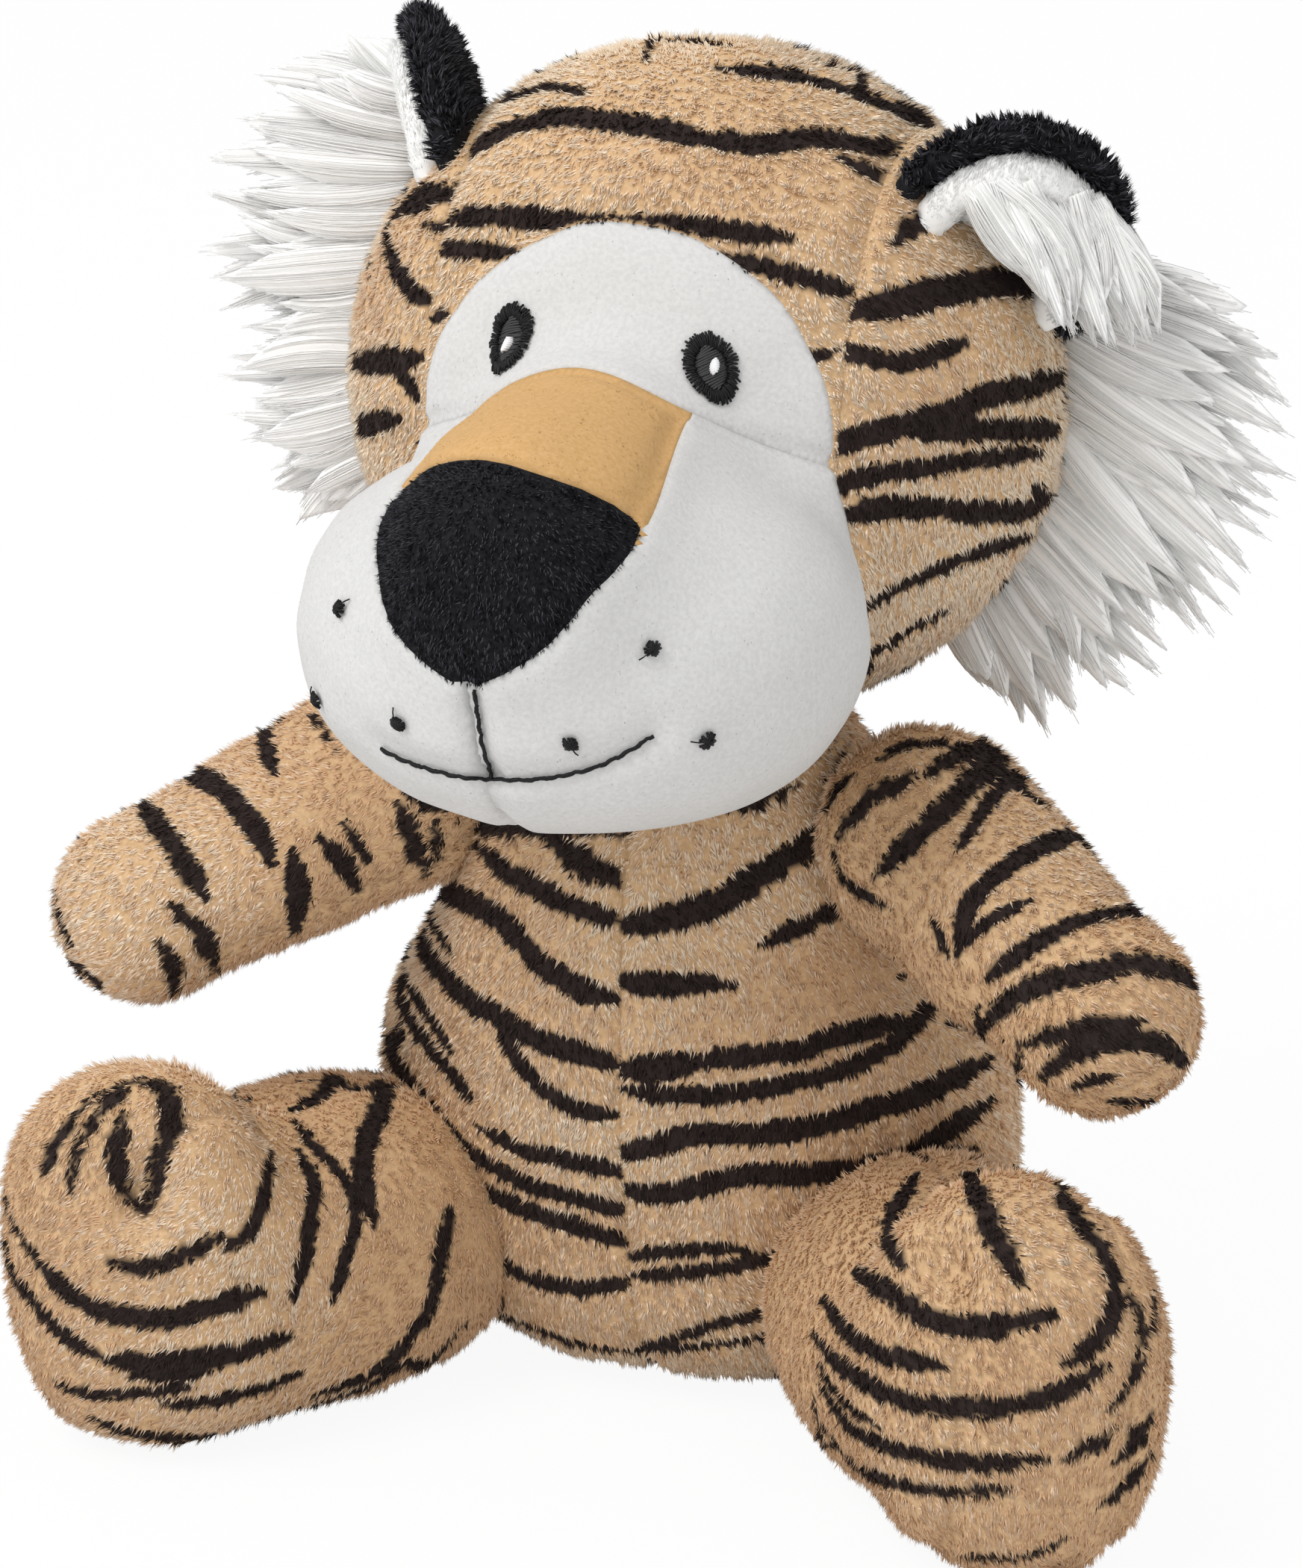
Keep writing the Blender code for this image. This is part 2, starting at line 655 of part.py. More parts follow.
def build_face(mesh, pivot):
    """The face panel, two muzzle panels, the bridge and the nose, in front of the face seam."""
    ahead = face_seam(-GAP / 2.0)
    meet = seam_place(ahead, BODY_HEIGHT + MUZZLE_SEAM_HEIGHT_SHARE * HEAD_HEIGHT)
    ridge = (
        meet[0] - OVERRUN * math.cos(MUZZLE_SEAM_TILT),
        meet[1] + OVERRUN * math.sin(MUZZLE_SEAM_TILT),
    )
    above = ((meet[0], meet[1] + GAP / 2.0), ahead[0], (-OVERRUN, ahead[0][1]), (ridge[0], ridge[1] + GAP))
    below = (meet[0], meet[1] - GAP / 2.0)
    front = (ridge[0], ridge[1] - GAP)
    panel("face_panel", mesh, prism("face_region", above, -OVERRUN, OVERRUN, "X"), WHITE, pivot)
    nose_up = BODY_HEIGHT + NOSE_CENTRE_SHARE * HEAD_HEIGHT
    panel("nose", mesh, nose_prism("nose_region", nose_up, 0.0), BLACK, pivot)
    nose_space = nose_prism("nose_space", nose_up, GAP)
    foot = nose_up + NOSE_HEIGHT * BRIDGE_FOOT_SHARE
    half = NOSE_WIDTH * BRIDGE_PANEL_SHARE
    start = meet[0] - (foot - below[1]) / math.tan(MUZZLE_SEAM_TILT)
    region = prism("bridge_region", ((start, foot), front, (front[0], foot)), -half, half, "X")
    panel("nose_bridge", mesh, region, BRIDGE_TAN, pivot, minus=(nose_space,))
    room = rectangle(-OVERRUN, OVERRUN, foot - GAP, OVERRUN)
    bridge_space = prism("bridge_space", room, -half - GAP, half + GAP, "X")
    outline = (below, front, (-OVERRUN * 2.0, ahead[1][1]), ahead[1])
    for word, low, high in half_widths():
        region = prism(f"muzzle_{word}_region", outline, low, high, "X")
        panel(f"muzzle_{word}", mesh, region, WHITE, pivot, minus=(bridge_space, nose_space))


def half_widths():
    """The two halves on each side of a centre seam: the word for each and its limits in X."""
    return (("left", GAP / 2.0, OVERRUN), ("right", -OVERRUN, -GAP / 2.0))


def face_seam(shift):
    """The upper and lower ends of the seam plane between the face and the rest of the head, seen
    from the side and moved back by a shift."""
    depth = FACE_SEAM_SHARES[0] * HEAD_DEPTH + shift
    place = Vector((depth, BODY_HEIGHT + FACE_SEAM_SHARES[1] * HEAD_HEIGHT))
    run = Vector((math.sin(FACE_SEAM_TILT), math.cos(FACE_SEAM_TILT)))
    upper = place + run * 2.0 * OVERRUN
    lower = place - run * 2.0 * OVERRUN
    return ((upper.x, upper.y), (lower.x, lower.y))


def seam_place(seam, height):
    """The point of the face seam at a height."""
    (top_y, top_z), (low_y, low_z) = seam
    share = (height - low_z) / (top_z - low_z)
    return (low_y + (top_y - low_y) * share, height)


def grown_gusset(outline):
    """The forehead's outline a gap larger at the throat, and open to the front."""
    grown = list(outline)
    grown[0] = (grown[0][0] - OVERRUN, grown[0][1])
    grown[1] = (grown[1][0] - OVERRUN, grown[1][1] - GAP)
    grown[2] = (grown[2][0] - GAP, grown[2][1] - GAP)
    grown[3] = (grown[3][0] - GAP, grown[3][1])
    return tuple(grown)


def nose_prism(name, up, grow):
    """A prism on the nose's outline, from the front back to its wings."""
    width = NOSE_WIDTH + 2.0 * grow
    height = NOSE_HEIGHT + 2.0 * grow
    right = [(x * width, up + z * height) for x, z in NOSE_OUTLINE_SHARES]
    left = [(-x, z) for x, z in reversed(right[1:])]
    return prism(name, right + left, -OVERRUN, HEAD_DEPTH * NOSE_BACK_SHARE, "Y")


def oval_cutter(name, size, skin, across, up):
    """A short oval prism through the front of the head, square to its surface there."""
    turns = [2.0 * math.pi * index / OVAL_SIDES for index in range(OVAL_SIDES)]
    outline = [(size[0] / 2.0 * math.cos(turn), size[1] / 2.0 * math.sin(turn)) for turn in turns]
    cutter = prism(name, outline, -EYE_WIDTH, EYE_WIDTH, "Y")
    place, normal = skin_place(skin, across, up)
    turn = normal.to_track_quat("Y", "Z").to_matrix().to_4x4()
    cutter.data.transform(Matrix.Translation(place) @ turn)
    return cutter


def build_embroidery(mesh, pivot):
    """Eyes with highlights, the mouth and lip lines, and the whisker dots."""
    shape = bmesh.new()
    shape.from_mesh(mesh)
    skin = BVHTree.FromBMesh(shape)
    shape.free()
    eye_up = BODY_HEIGHT + EYE_HEIGHT_SHARE * HEAD_HEIGHT
    light = (EYE_HIGHLIGHT_DIAMETER, EYE_HIGHLIGHT_DIAMETER)
    raised = 2.0 * GAP + EMBROIDERY_THICKNESS
    thin = EMBROIDERY_THICKNESS / 2.0
    for side, word in ((1.0, "left"), (-1.0, "right")):
        across = EYE_SPACING / 2.0 * side
        region = oval_cutter(f"eye_{word}_region", (EYE_WIDTH, EYE_HEIGHT), skin, across, eye_up)
        patch(f"eye_{word}", mesh, GAP, EMBROIDERY_THICKNESS, region, THREAD_BLACK, pivot)
        region = oval_cutter(f"eye_highlight_{word}_region", light, skin, across, eye_up)
        patch(f"eye_highlight_{word}", mesh, raised, thin, region, THREAD_WHITE, pivot)
        for number, (out_share, up_share) in enumerate(WHISKER_SHARES, start=1):
            build_whisker_dot(f"whisker_dot_{word}_{number}", skin, out_share * side, up_share, pivot)
    lift = STITCH_DIAMETER / 2.0 + GAP
    mouth_up = BODY_HEIGHT + MOUTH_HEIGHT_SHARE * HEAD_HEIGHT
    mouth = []
    for out_share, up_share in MOUTH_SHARES:
        across = out_share * MOUTH_WIDTH
        mouth.append(raised_place(skin, across, mouth_up + up_share * MOUTH_WIDTH, lift))
    add_stitch("mouth_stitch", mouth, pivot)
    nose_foot = BODY_HEIGHT + NOSE_CENTRE_SHARE * HEAD_HEIGHT - NOSE_HEIGHT / 2.0
    lip_top = nose_foot - STITCH_DIAMETER
    lip_low = mouth[len(mouth) // 2].z + STITCH_DIAMETER * 2.0
    step = (lip_low - lip_top) / (LIP_POINTS - 1)
    lip = [raised_place(skin, 0.0, lip_top + step * index, lift) for index in range(LIP_POINTS)]
    add_stitch("lip_stitch", lip, pivot)


def add_stitch(name, points, pivot):
    mesh = curve_mesh(name, points, [1.0] * len(points), STITCH_DIAMETER, 1)
    part = add_part(name, mesh, pivot)
    set_material(part, THREAD_BLACK, THREAD_ROUGHNESS)


def build_whisker_dot(name, skin, out_share, up_share, pivot):
    """A small knot of thread, flattened against the muzzle."""
    radius = WHISKER_DOT_DIAMETER / 2.0
    place, normal = skin_place(
        skin, out_share * MUZZLE_WIDTH, BODY_HEIGHT + up_share * MUZZLE_HEIGHT
    )
    turn = Vector((0.0, 0.0, 1.0)).rotation_difference(normal).to_matrix().to_4x4()
    centre = place + normal * (GAP + radius / 2.0)
    mesh = ball_mesh(name, centre, (radius, radius, radius / 2.0), DOT_FACETS, turn)
    part = add_part(name, mesh, pivot)
    set_material(part, THREAD_BLACK, THREAD_ROUGHNESS)


def ear_frame(word):
    """The turn of an ear, with its width, open side and height as axes, and the open side."""
    width_axis = EAR_AXES[word][0].normalized()
    up_axis = EAR_AXES[word][1]
    up_axis = (up_axis - width_axis * up_axis.dot(width_axis)).normalized()
    open_side = width_axis.cross(up_axis)
    turn = Matrix((width_axis, open_side, up_axis)).transposed().to_4x4()
    return turn, open_side


def ear_place(word):
    place = scaled(EAR_PLACE_SHARES[word], (HEAD_WIDTH, HEAD_DEPTH, HEAD_HEIGHT))
    return place + Vector((0.0, 0.0, BODY_HEIGHT))


def ear_ball(name, word, shrink, steps):
    """One layer of an ear: its outer ellipsoid, smaller by a length and moved to the open side."""
    turn, open_side = ear_frame(word)
    half = Vector((EAR_WIDTH, EAR_CUP_DEPTH, EAR_HEIGHT)) / 2.0 - even_half(2.0 * shrink)
    place = ear_place(word) + open_side * (FABRIC_THICKNESS + GAP) * steps
    return ball_mesh(name, place, half, EAR_FACETS, turn)


def build_ear(word, pivot, head_space):
    """A black back and a white lining, each a shallow cup, standing on the head."""
    thin = FABRIC_THICKNESS * EAR_THINNING_SHARE
    back = add_part(f"ear_{word}_back", ear_ball("ear_back", word, 0.0, 0), pivot)
    boolean(back, "DIFFERENCE", add_cutter(f"ear_{word}_back_cut", ear_ball("ear_cut", word, thin, 1)))
    boolean(back, "DIFFERENCE", head_space)
    set_material(back, BLACK)
    lining = add_part(f"ear_{word}_lining", ear_ball("ear_lining", word, thin + GAP, 1), pivot)
    lining_cut = add_cutter(f"ear_{word}_lining_cut", ear_ball("ear_cut", word, 2.0 * thin + GAP, 2))
    boolean(lining, "DIFFERENCE", lining_cut)
    boolean(lining, "DIFFERENCE", head_space)
    set_material(lining, WHITE)


def build_mane(side, word, pivot, head_space):
    """A tuft of long white pile beside each cheek, as the solid that the pile fills."""
    sizes = (HEAD_WIDTH, HEAD_DEPTH, HEAD_HEIGHT)
    place = mirrored(scaled(MANE_PLACE_SHARES[word], sizes), side) + Vector((0.0, 0.0, BODY_HEIGHT))
    half = (MANE_LENGTH / 2.0, MANE_THICKNESS / 2.0, MANE_HEIGHT / 2.0)
    part = add_part(f"mane_{word}", ball_mesh(f"mane_{word}", place, half, LIMB_FACETS), pivot)
    boolean(part, "DIFFERENCE", head_space)
    room = ear_ball("ear_space", word, -GAP - FABRIC_THICKNESS, EAR_SPACE_STEPS)
    boolean(part, "DIFFERENCE", add_cutter(f"ear_{word}_space", room))
    set_material(part, MANE_WHITE)


def build_tail():
    """A stuffed tube curling behind the body: its fabric is open at the root, where the filling
    fits the body's socket."""
    root = tail_place()
    pivot = add_pivot("tail_root", root)
    tip = [root + Vector(shares) * TAIL_LENGTH for shares in TAIL_ROUTE_SHARES]
    ball = [root - Vector((0.0, TAIL_DIAMETER * share, 0.0)) for share in TAIL_BALL_SHARES]
    inner = TAIL_DIAMETER - 2.0 * (FABRIC_THICKNESS + GAP)
    core_route = ball + tip[:-1]
    core_radii = TAIL_BALL_RADIUS_SHARES + TAIL_RADIUS_SHARES[:-1]
    core = add_part("tail_filling", curve_mesh("tail_filling", core_route, core_radii, inner), pivot)
    set_material(core, FILLING_WHITE)
    skin_route = ball[1:] + tip
    skin_radii = TAIL_BALL_RADIUS_SHARES[1:] + TAIL_RADIUS_SHARES
    skin = add_part("tail_panel", curve_mesh("tail_panel", skin_route, skin_radii, TAIL_DIAMETER), pivot)
    hollow = curve_mesh("tail_hollow", core_route, core_radii, inner + 2.0 * GAP)
    boolean(skin, "DIFFERENCE", add_cutter("tail_hollow", hollow))
    set_material(skin, TAN)


clear_scene()
TOY = new_collection("plush_tiger")
CUTTERS = new_collection("cutters")
HEAD_FORM = (
    masses(SKULL_MASS_SHARES, (HEAD_WIDTH, HEAD_DEPTH, HEAD_HEIGHT), BODY_HEIGHT)
    + masses(MUZZLE_MASS_SHARES, (MUZZLE_WIDTH, MUZZLE_DEPTH, MUZZLE_HEIGHT), BODY_HEIGHT)
    + masses(BRIDGE_MASS_SHARES, (BRIDGE_WIDTH, BRIDGE_DEPTH, BRIDGE_HEIGHT), BODY_HEIGHT)
)
build_body()
build_head()
for arm_side, arm_word in ((1.0, "left"), (-1.0, "right")):
    build_arm(arm_side, arm_word)
    build_leg(arm_side, arm_word)
build_tail()
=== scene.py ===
"""Dresses the seated plush tiger: fabric with real pile, printed stripes, a long white mane, stitched
eyes and mouth, plain studio light and the photograph's camera.

Lengths are metres in the part's own frame: +Z up, the face looks along -Y, the toy's left is +X.
Places named as photo points are in the photograph shrunk to PHOTO_VIEW, and each is cast from the
camera onto the form that carries it.
"""

import json
import math
from collections import namedtuple

import bmesh
import bpy
import numpy as np
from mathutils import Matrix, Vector
from mathutils.bvhtree import BVHTree


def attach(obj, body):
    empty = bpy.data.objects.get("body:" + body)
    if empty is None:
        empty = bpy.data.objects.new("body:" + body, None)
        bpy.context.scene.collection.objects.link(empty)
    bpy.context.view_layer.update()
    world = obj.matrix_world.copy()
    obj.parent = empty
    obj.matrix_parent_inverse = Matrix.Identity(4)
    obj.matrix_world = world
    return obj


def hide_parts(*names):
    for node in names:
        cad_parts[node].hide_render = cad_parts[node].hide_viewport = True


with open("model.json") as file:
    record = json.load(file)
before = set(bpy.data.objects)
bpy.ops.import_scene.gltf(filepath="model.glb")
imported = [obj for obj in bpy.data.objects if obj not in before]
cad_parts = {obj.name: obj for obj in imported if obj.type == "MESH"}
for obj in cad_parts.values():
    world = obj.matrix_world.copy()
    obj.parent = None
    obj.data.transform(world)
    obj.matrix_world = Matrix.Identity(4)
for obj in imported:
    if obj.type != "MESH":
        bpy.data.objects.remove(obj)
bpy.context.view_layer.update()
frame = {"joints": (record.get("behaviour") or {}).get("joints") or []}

# The photograph and its camera
PHOTO_VIEW = (872, 1050)
CAMERA_AZIMUTH = math.radians(19.0)
CAMERA_ELEVATION = math.radians(20.0)
CAMERA_DISTANCE = 1.0
CAMERA_TARGET = np.array((0.0, -0.025, 0.107))
CAMERA_LENS = 144.0
CAMERA_SENSOR = 36.0
VIEW_PIXEL = CAMERA_SENSOR / CAMERA_LENS * CAMERA_DISTANCE / PHOTO_VIEW[1]

# Forms, as in the part's source
BODY_SIZE = np.array((0.110, 0.076, 0.118))
BODY_BLEND = 0.016
HEAD_SIZE = np.array((0.118, 0.100, 0.111))
HEAD_BLEND = 0.010
MUZZLE_SIZE = np.array((0.090, 0.084, 0.060))
BRIDGE_SIZE = np.array((0.045, 0.084, 0.046))
FOREHEAD_HALF = 0.034
NOSE_SIZE = (0.0405, 0.032)
NOSE_BACK = -0.060
NOSE_FRONT = -0.088
FACE_SHIFT = 0.0030
ARM_LENGTH = 0.062
ARM_ROOT = 0.038
PAW = 0.032
ARM_BLEND = 0.012
LEG_LENGTH = 0.0645
LEG_ROOT = np.array((0.052, 0.052, 0.050))
FOOT_SIZE = np.array((0.049, 0.037, 0.066))
LEG_BLEND = 0.012
FOOT_PANEL_HALF = 0.013
FLOOR_FLAT_DEPTH = 0.0005
BASE_PANEL_RISE = 0.003
SIDE_SEAM = 0.0023
FACE_SEAM = (-0.0358, 0.0600)
FACE_SEAM_TILT = math.radians(4.5)
MUZZLE_SEAM_RISE = 0.0483
MUZZLE_SEAM_TILT = math.radians(38.0)
THROAT_RISE = 0.0333
NOSE_RISE = 0.0450
BRIDGE_FOOT = 0.0045
BRIDGE_HALF = (0.0185, 0.0222)
BRIDGE_RUN = (-0.050, -0.082)
BRIDGE_ARCH = 0.0036
ALONG_DEPTH, ALONG_HEIGHT = 1, 2
# The nose's right half as it is seen from the camera's height, in shares of NOSE_SIZE from its middle
NOSE_OUTLINE = (
    (0.0, 0.49), (0.11, 0.478), (0.243, 0.44), (0.36, 0.40), (0.46, 0.34), (0.535, 0.25), (0.535, 0.13),
    (0.50, 0.0), (0.455, -0.10), (0.40, -0.236), (0.33, -0.36), (0.245, -0.46), (0.15, -0.54), (0.06, -0.60),
)
CENTRE_SEAM_DROP = 0.010
ARM_SEAM_TILT = math.radians(30.0)
ANKLE_SHARE, SOLE_SHARE = 0.95, 0.12
NO_SEAM = 1.0
# How far the pile's backing lies inside the part's surface, and how the seams pull it in
BACKING_DEPTH = 0.0010
SEAM_DEPTH = 0.0012
SEAM_WIDTH = 0.0016
WRINKLE_HEIGHT = 0.0004
WRINKLE_SIZE = 0.012
LOWEST_SKIN = 0.0004
LOWEST_FIBRE = 0.0002


# Printed stripes, each as a width in photo points and its run of points, on the panels named
FOREHEAD_STRIPES = (
    (9, ((430, 27), (460, 28), (490, 31))),
    (20, ((484, 46), (500, 48), (525, 50), (558, 58), (592, 70), (628, 84))),
    (8, ((548, 42), (572, 48), (594, 56), (616, 67))),
    (10, ((322, 76), (338, 68), (365, 59), (394, 62))),
    (18, ((305, 117), (312, 104), (325, 95), (348, 84), (378, 78), (412, 82), (445, 87), (478, 95))),
    (17, ((470, 93), (512, 97), (545, 92), (578, 97), (602, 100), (620, 101))),
    (11, ((563, 106), (582, 114), (600, 124))),
    (14, ((296, 147), (335, 145), (375, 148), (425, 150), (475, 153), (530, 159))),
    (12, ((290, 167), (318, 168), (350, 170))),
    (13, ((483, 172), (515, 180), (545, 188), (577, 197))),
    (7, ((286, 214), (296, 212), (302, 209))),
    (8, ((532, 243), (545, 239), (560, 235))),
)
SIDE_RIGHT_STRIPES = (
    (26, ((262, 150), (270, 139), (284, 133), (308, 128))),
    (12, ((284, 150), (300, 154))),
    (13, ((259, 158), (265, 178), (276, 195), (292, 204))),
    (17, ((232, 243), (258, 242), (284, 240))),
    (12, ((262, 247), (272, 255), (281, 268))),
    (16, ((226, 287), (246, 285), (268, 281))),
    (10, ((228, 330), (242, 326))),
)
SIDE_LEFT_STRIPES = (
    (20, ((566, 212), (592, 204), (625, 197), (658, 190), (692, 190), (712, 197))),
    (13, ((548, 233), (575, 237), (602, 243), (625, 237), (648, 229))),
    (16, ((543, 304), (575, 293), (608, 284), (642, 273), (668, 263), (692, 258), (716, 251))),
    (14, ((606, 289), (642, 288), (675, 288), (716, 288))),
    (13, ((549, 330), (585, 318), (625, 312), (658, 307), (697, 303))),
    (16, ((563, 346), (592, 340), (625, 340), (658, 343), (692, 340), (706, 330))),
    (12, ((580, 405), (598, 395), (625, 382), (655, 370), (690, 359))),
    (9, ((566, 449), (592, 433), (612, 420), (634, 409))),
    (14, ((598, 163), (618, 148), (650, 140))),
    (9, ((703, 203), (708, 216))),
)
BODY_RIGHT_STRIPES = (
    (13, ((292, 545), (316, 551), (343, 559))),
    (20, ((366, 561), (378, 570), (395, 580), (418, 592))),
    (15, ((319, 566), (340, 584), (363, 596), (387, 608), (418, 618))),
    (18, ((291, 578), (300, 596), (331, 612), (349, 630), (363, 646), (387, 661), (412, 669))),
    (8, ((286, 598), (291, 618), (304, 640))),
    (17, ((279, 612), (284, 633), (296, 650), (313, 668), (334, 680), (358, 695), (387, 705), (418, 712))),
    (13, ((332, 682), (349, 712), (366, 730), (387, 742), (416, 747))),
    (13, ((265, 648), (272, 677), (287, 700), (305, 721), (317, 737))),
    (11, ((272, 657), (290, 684), (304, 704))),
    (14, ((251, 684), (266, 712), (284, 736), (302, 759), (322, 776), (352, 792), (381, 801), (419, 811))),
    (13, ((319, 754), (346, 768), (372, 775), (396, 780), (418, 787))),
    (18, ((385, 776), (418, 786))),
    (14, ((304, 788), (334, 802), (358, 812), (387, 821), (424, 834))),
    (13, ((300, 815), (325, 834), (343, 850), (366, 859), (393, 862), (428, 858))),
    (9, ((322, 877), (352, 886), (375, 896), (405, 903), (434, 905))),
)
BODY_LEFT_STRIPES = (
    (18, ((412, 621), (446, 615), (475, 606), (499, 593), (522, 578), (549, 561), (566, 551))),
    (13, ((511, 631), (534, 621), (561, 609), (592, 603))),
    (16, ((408, 656), (440, 659), (475, 658), (490, 659))),
    (19, ((410, 717), (446, 714), (475, 710))),
    (15, ((465, 711), (505, 706), (534, 703), (563, 693), (604, 683))),
    (13, ((417, 730), (446, 733), (484, 733), (519, 727), (558, 718), (587, 706), (608, 690), (625, 671),
        (642, 654))),
    (17, ((410, 774), (440, 767), (463, 760), (505, 759), (540, 755), (572, 746), (608, 736), (637, 723),
        (662, 710))),
    (17, ((413, 797), (446, 799), (472, 793), (499, 787), (534, 786), (572, 783), (608, 774), (631, 759),
        (664, 737))),
    (10, ((544, 809), (572, 808), (590, 802))),
    (10, ((420, 842), (452, 837), (484, 836), (505, 838))),
    (11, ((422, 855), (452, 852), (490, 848), (519, 842), (562, 836))),
    (10, ((424, 906), (455, 895), (481, 886), (514, 880), (544, 875))),
    (7, ((440, 905), (484, 899), (514, 895), (540, 889))),
    (7, ((496, 543), (518, 533))),
)
ARM_RIGHT_STRIPES = (
    (15, ((116, 511), (128, 517), (146, 527), (160, 540), (175, 560), (182, 579))),
    (17, ((196, 571), (200, 597), (197, 624))),
    (15, ((92, 535), (107, 553), (123, 577), (138, 600))),
    (16, ((130, 615), (139, 633), (145, 650))),
    (11, ((115, 604), (129, 623))),
    (12, ((184, 474), (178, 493), (184, 519))),
    (9, ((231, 551), (248, 578))),
    (15, ((214, 561), (230, 577), (240, 596))),
    (13, ((268, 538), (276, 563), (285, 586))),
    (9, ((291, 550), (293, 576))),
    (14, ((108, 630), (116, 647), (117, 665))),
    (8, ((38, 595), (40, 613), (48, 632))),
    (10, ((32, 628), (43, 643), (60, 650), (70, 665))),
)
LEG_RIGHT_STRIPES = (
    (13, ((84, 746), (78, 767), (82, 793), (93, 808))),
    (16, ((94, 724), (110, 730), (116, 750), (108, 773), (103, 800), (96, 811))),
    (9, ((48, 799), (50, 777), (57, 760), (70, 741), (87, 730))),
    (12, ((29, 785), (38, 766), (52, 746))),
    (6, ((50, 746), (67, 733), (90, 724))),
    (12, ((181, 773), (177, 800), (167, 823), (152, 838))),
    (12, ((75, 846), (100, 848), (127, 838), (150, 827))),
    (7, ((3, 800), (8, 815), (16, 830), (30, 849))),
    (15, ((26, 846), (53, 870), (80, 880), (113, 882), (147, 873), (176, 864))),
    (12, ((2, 827), (10, 853), (27, 877), (47, 897), (73, 911))),
    (14, ((66, 909), (107, 912), (133, 907), (155, 902))),
    (14, ((88, 921), (127, 917), (160, 906), (195, 894))),
    (9, ((38, 926), (60, 933), (90, 933), (129, 928))),
    (11, ((108, 940), (143, 938), (173, 930), (202, 919))),
    (12, ((60, 949), (93, 960), (127, 962), (160, 957), (196, 951))),
    (8, ((78, 963), (110, 973), (147, 978), (194, 980))),
    (13, ((200, 770), (210, 793), (208, 817), (205, 840), (196, 869))),
    (10, ((202, 761), (220, 777), (233, 793), (238, 813), (233, 837), (222, 872))),
    (14, ((248, 685), (230, 707), (220, 730), (196, 744))),
    (11, ((198, 752), (212, 768))),
    (15, ((251, 698), (257, 733), (247, 760), (243, 783), (250, 820))),
    (13, ((301, 810), (295, 840), (290, 870), (273, 897), (247, 920), (211, 934))),
    (9, ((274, 901), (257, 920), (233, 937), (201, 944))),
    (9, ((292, 905), (267, 930), (233, 950), (198, 958))),
    (7, ((313, 883), (287, 913), (253, 940), (227, 960), (198, 974))),
    (5, ((198, 704), (214, 692))),
)
ARM_LEFT_STRIPES = (
    (10, ((573, 494), (590, 486), (603, 482), (626, 474), (648, 475))),
    (12, ((554, 545), (558, 532), (568, 521), (574, 517))),
    (13, ((562, 560), (572, 546), (584, 534), (613, 519))),
    (17, ((588, 584), (611, 563), (634, 540), (657, 518), (676, 505))),
    (15, ((620, 518), (649, 503), (672, 499), (702, 507))),
    (10, ((642, 569), (657, 545), (672, 526), (692, 518), (717, 523))),
    (14, ((641, 638), (649, 607), (665, 588), (684, 574), (707, 563), (734, 555), (751, 564))),
    (9, ((648, 632), (665, 615), (690, 603))),
    (13, ((662, 655), (684, 638), (707, 624), (734, 613), (761, 611), (788, 609), (797, 620))),
    (16, ((659, 687), (680, 668), (703, 657), (730, 651), (761, 645), (792, 653), (803, 667))),
    (10, ((682, 700), (711, 692), (734, 686), (765, 684))),
    (15, ((698, 722), (715, 707), (745, 697), (776, 699), (795, 715))),
    (10, ((718, 727), (747, 720))),
    (8, ((743, 738), (772, 737), (792, 733))),
    (10, ((656, 674), (659, 707), (672, 730), (695, 745), (722, 755), (763, 757))),
    (12, ((684, 705), (684, 726), (701, 744))),
    (8, ((625, 616), (635, 640))),
    (9, ((558, 570), (568, 592), (594, 606))),
)
LEG_LEFT_STRIPES = (
    (14, ((615, 786), (599, 811), (597, 834), (606, 849))),
    (15, ((648, 786), (659, 811), (670, 834), (684, 859))),
    (15, ((572, 851), (599, 868), (626, 884), (665, 888), (706, 879))),
    (14, ((551, 870), (568, 892), (592, 907), (632, 914))),
    (14, ((545, 895), (568, 918), (607, 938), (657, 943), (699, 936), (740, 916))),
    (7, ((547, 912), (565, 938), (590, 957))),
    (12, ((549, 927), (572, 957), (607, 972), (653, 980), (701, 976))),
    (9, ((549, 951), (572, 980), (607, 995), (645, 999), (678, 997))),
    (11, ((713, 977), (734, 967), (746, 958))),
    (14, ((713, 913), (734, 899), (745, 880), (747, 857), (736, 834), (718, 811), (709, 792))),
    (8, ((743, 944), (761, 918), (765, 892), (757, 866))),
    (15, ((747, 978), (761, 965), (772, 947))),
    (11, ((736, 1009), (757, 992), (770, 974))),
    (15, ((691, 780), (707, 768), (724, 757))),
    (12, ((663, 736), (665, 770))),
    (9, ((773, 864), (771, 894))),
    (6, ((643, 1042), (684, 1042), (717, 1029))),
    (6, ((545, 936), (553, 974))),
)
# The form and the panel, or the whole limb, that each table's stripes are printed on
STRIPES = (
    ("head", "forehead_panel", FOREHEAD_STRIPES),
    ("head", "side_panel_right", SIDE_RIGHT_STRIPES),
    ("head", "side_panel_left", SIDE_LEFT_STRIPES),
    ("body", "body_front_right", BODY_RIGHT_STRIPES),
    ("body", "body_front_left", BODY_LEFT_STRIPES),
    ("arm_right", "arm_right", ARM_RIGHT_STRIPES),
    ("arm_left", "arm_left", ARM_LEFT_STRIPES),
    ("leg_right", "leg_right", LEG_RIGHT_STRIPES),
    ("leg_left", "leg_left", LEG_LEFT_STRIPES),
)


def unit(vectors):
    vectors = np.asarray(vectors, float)
    return vectors / np.maximum(np.linalg.norm(vectors, axis=-1, keepdims=True), 1e-12)


def smooth(values):
    values = np.clip(values, 0.0, 1.0)
    return values * values * (3.0 - 2.0 * values)


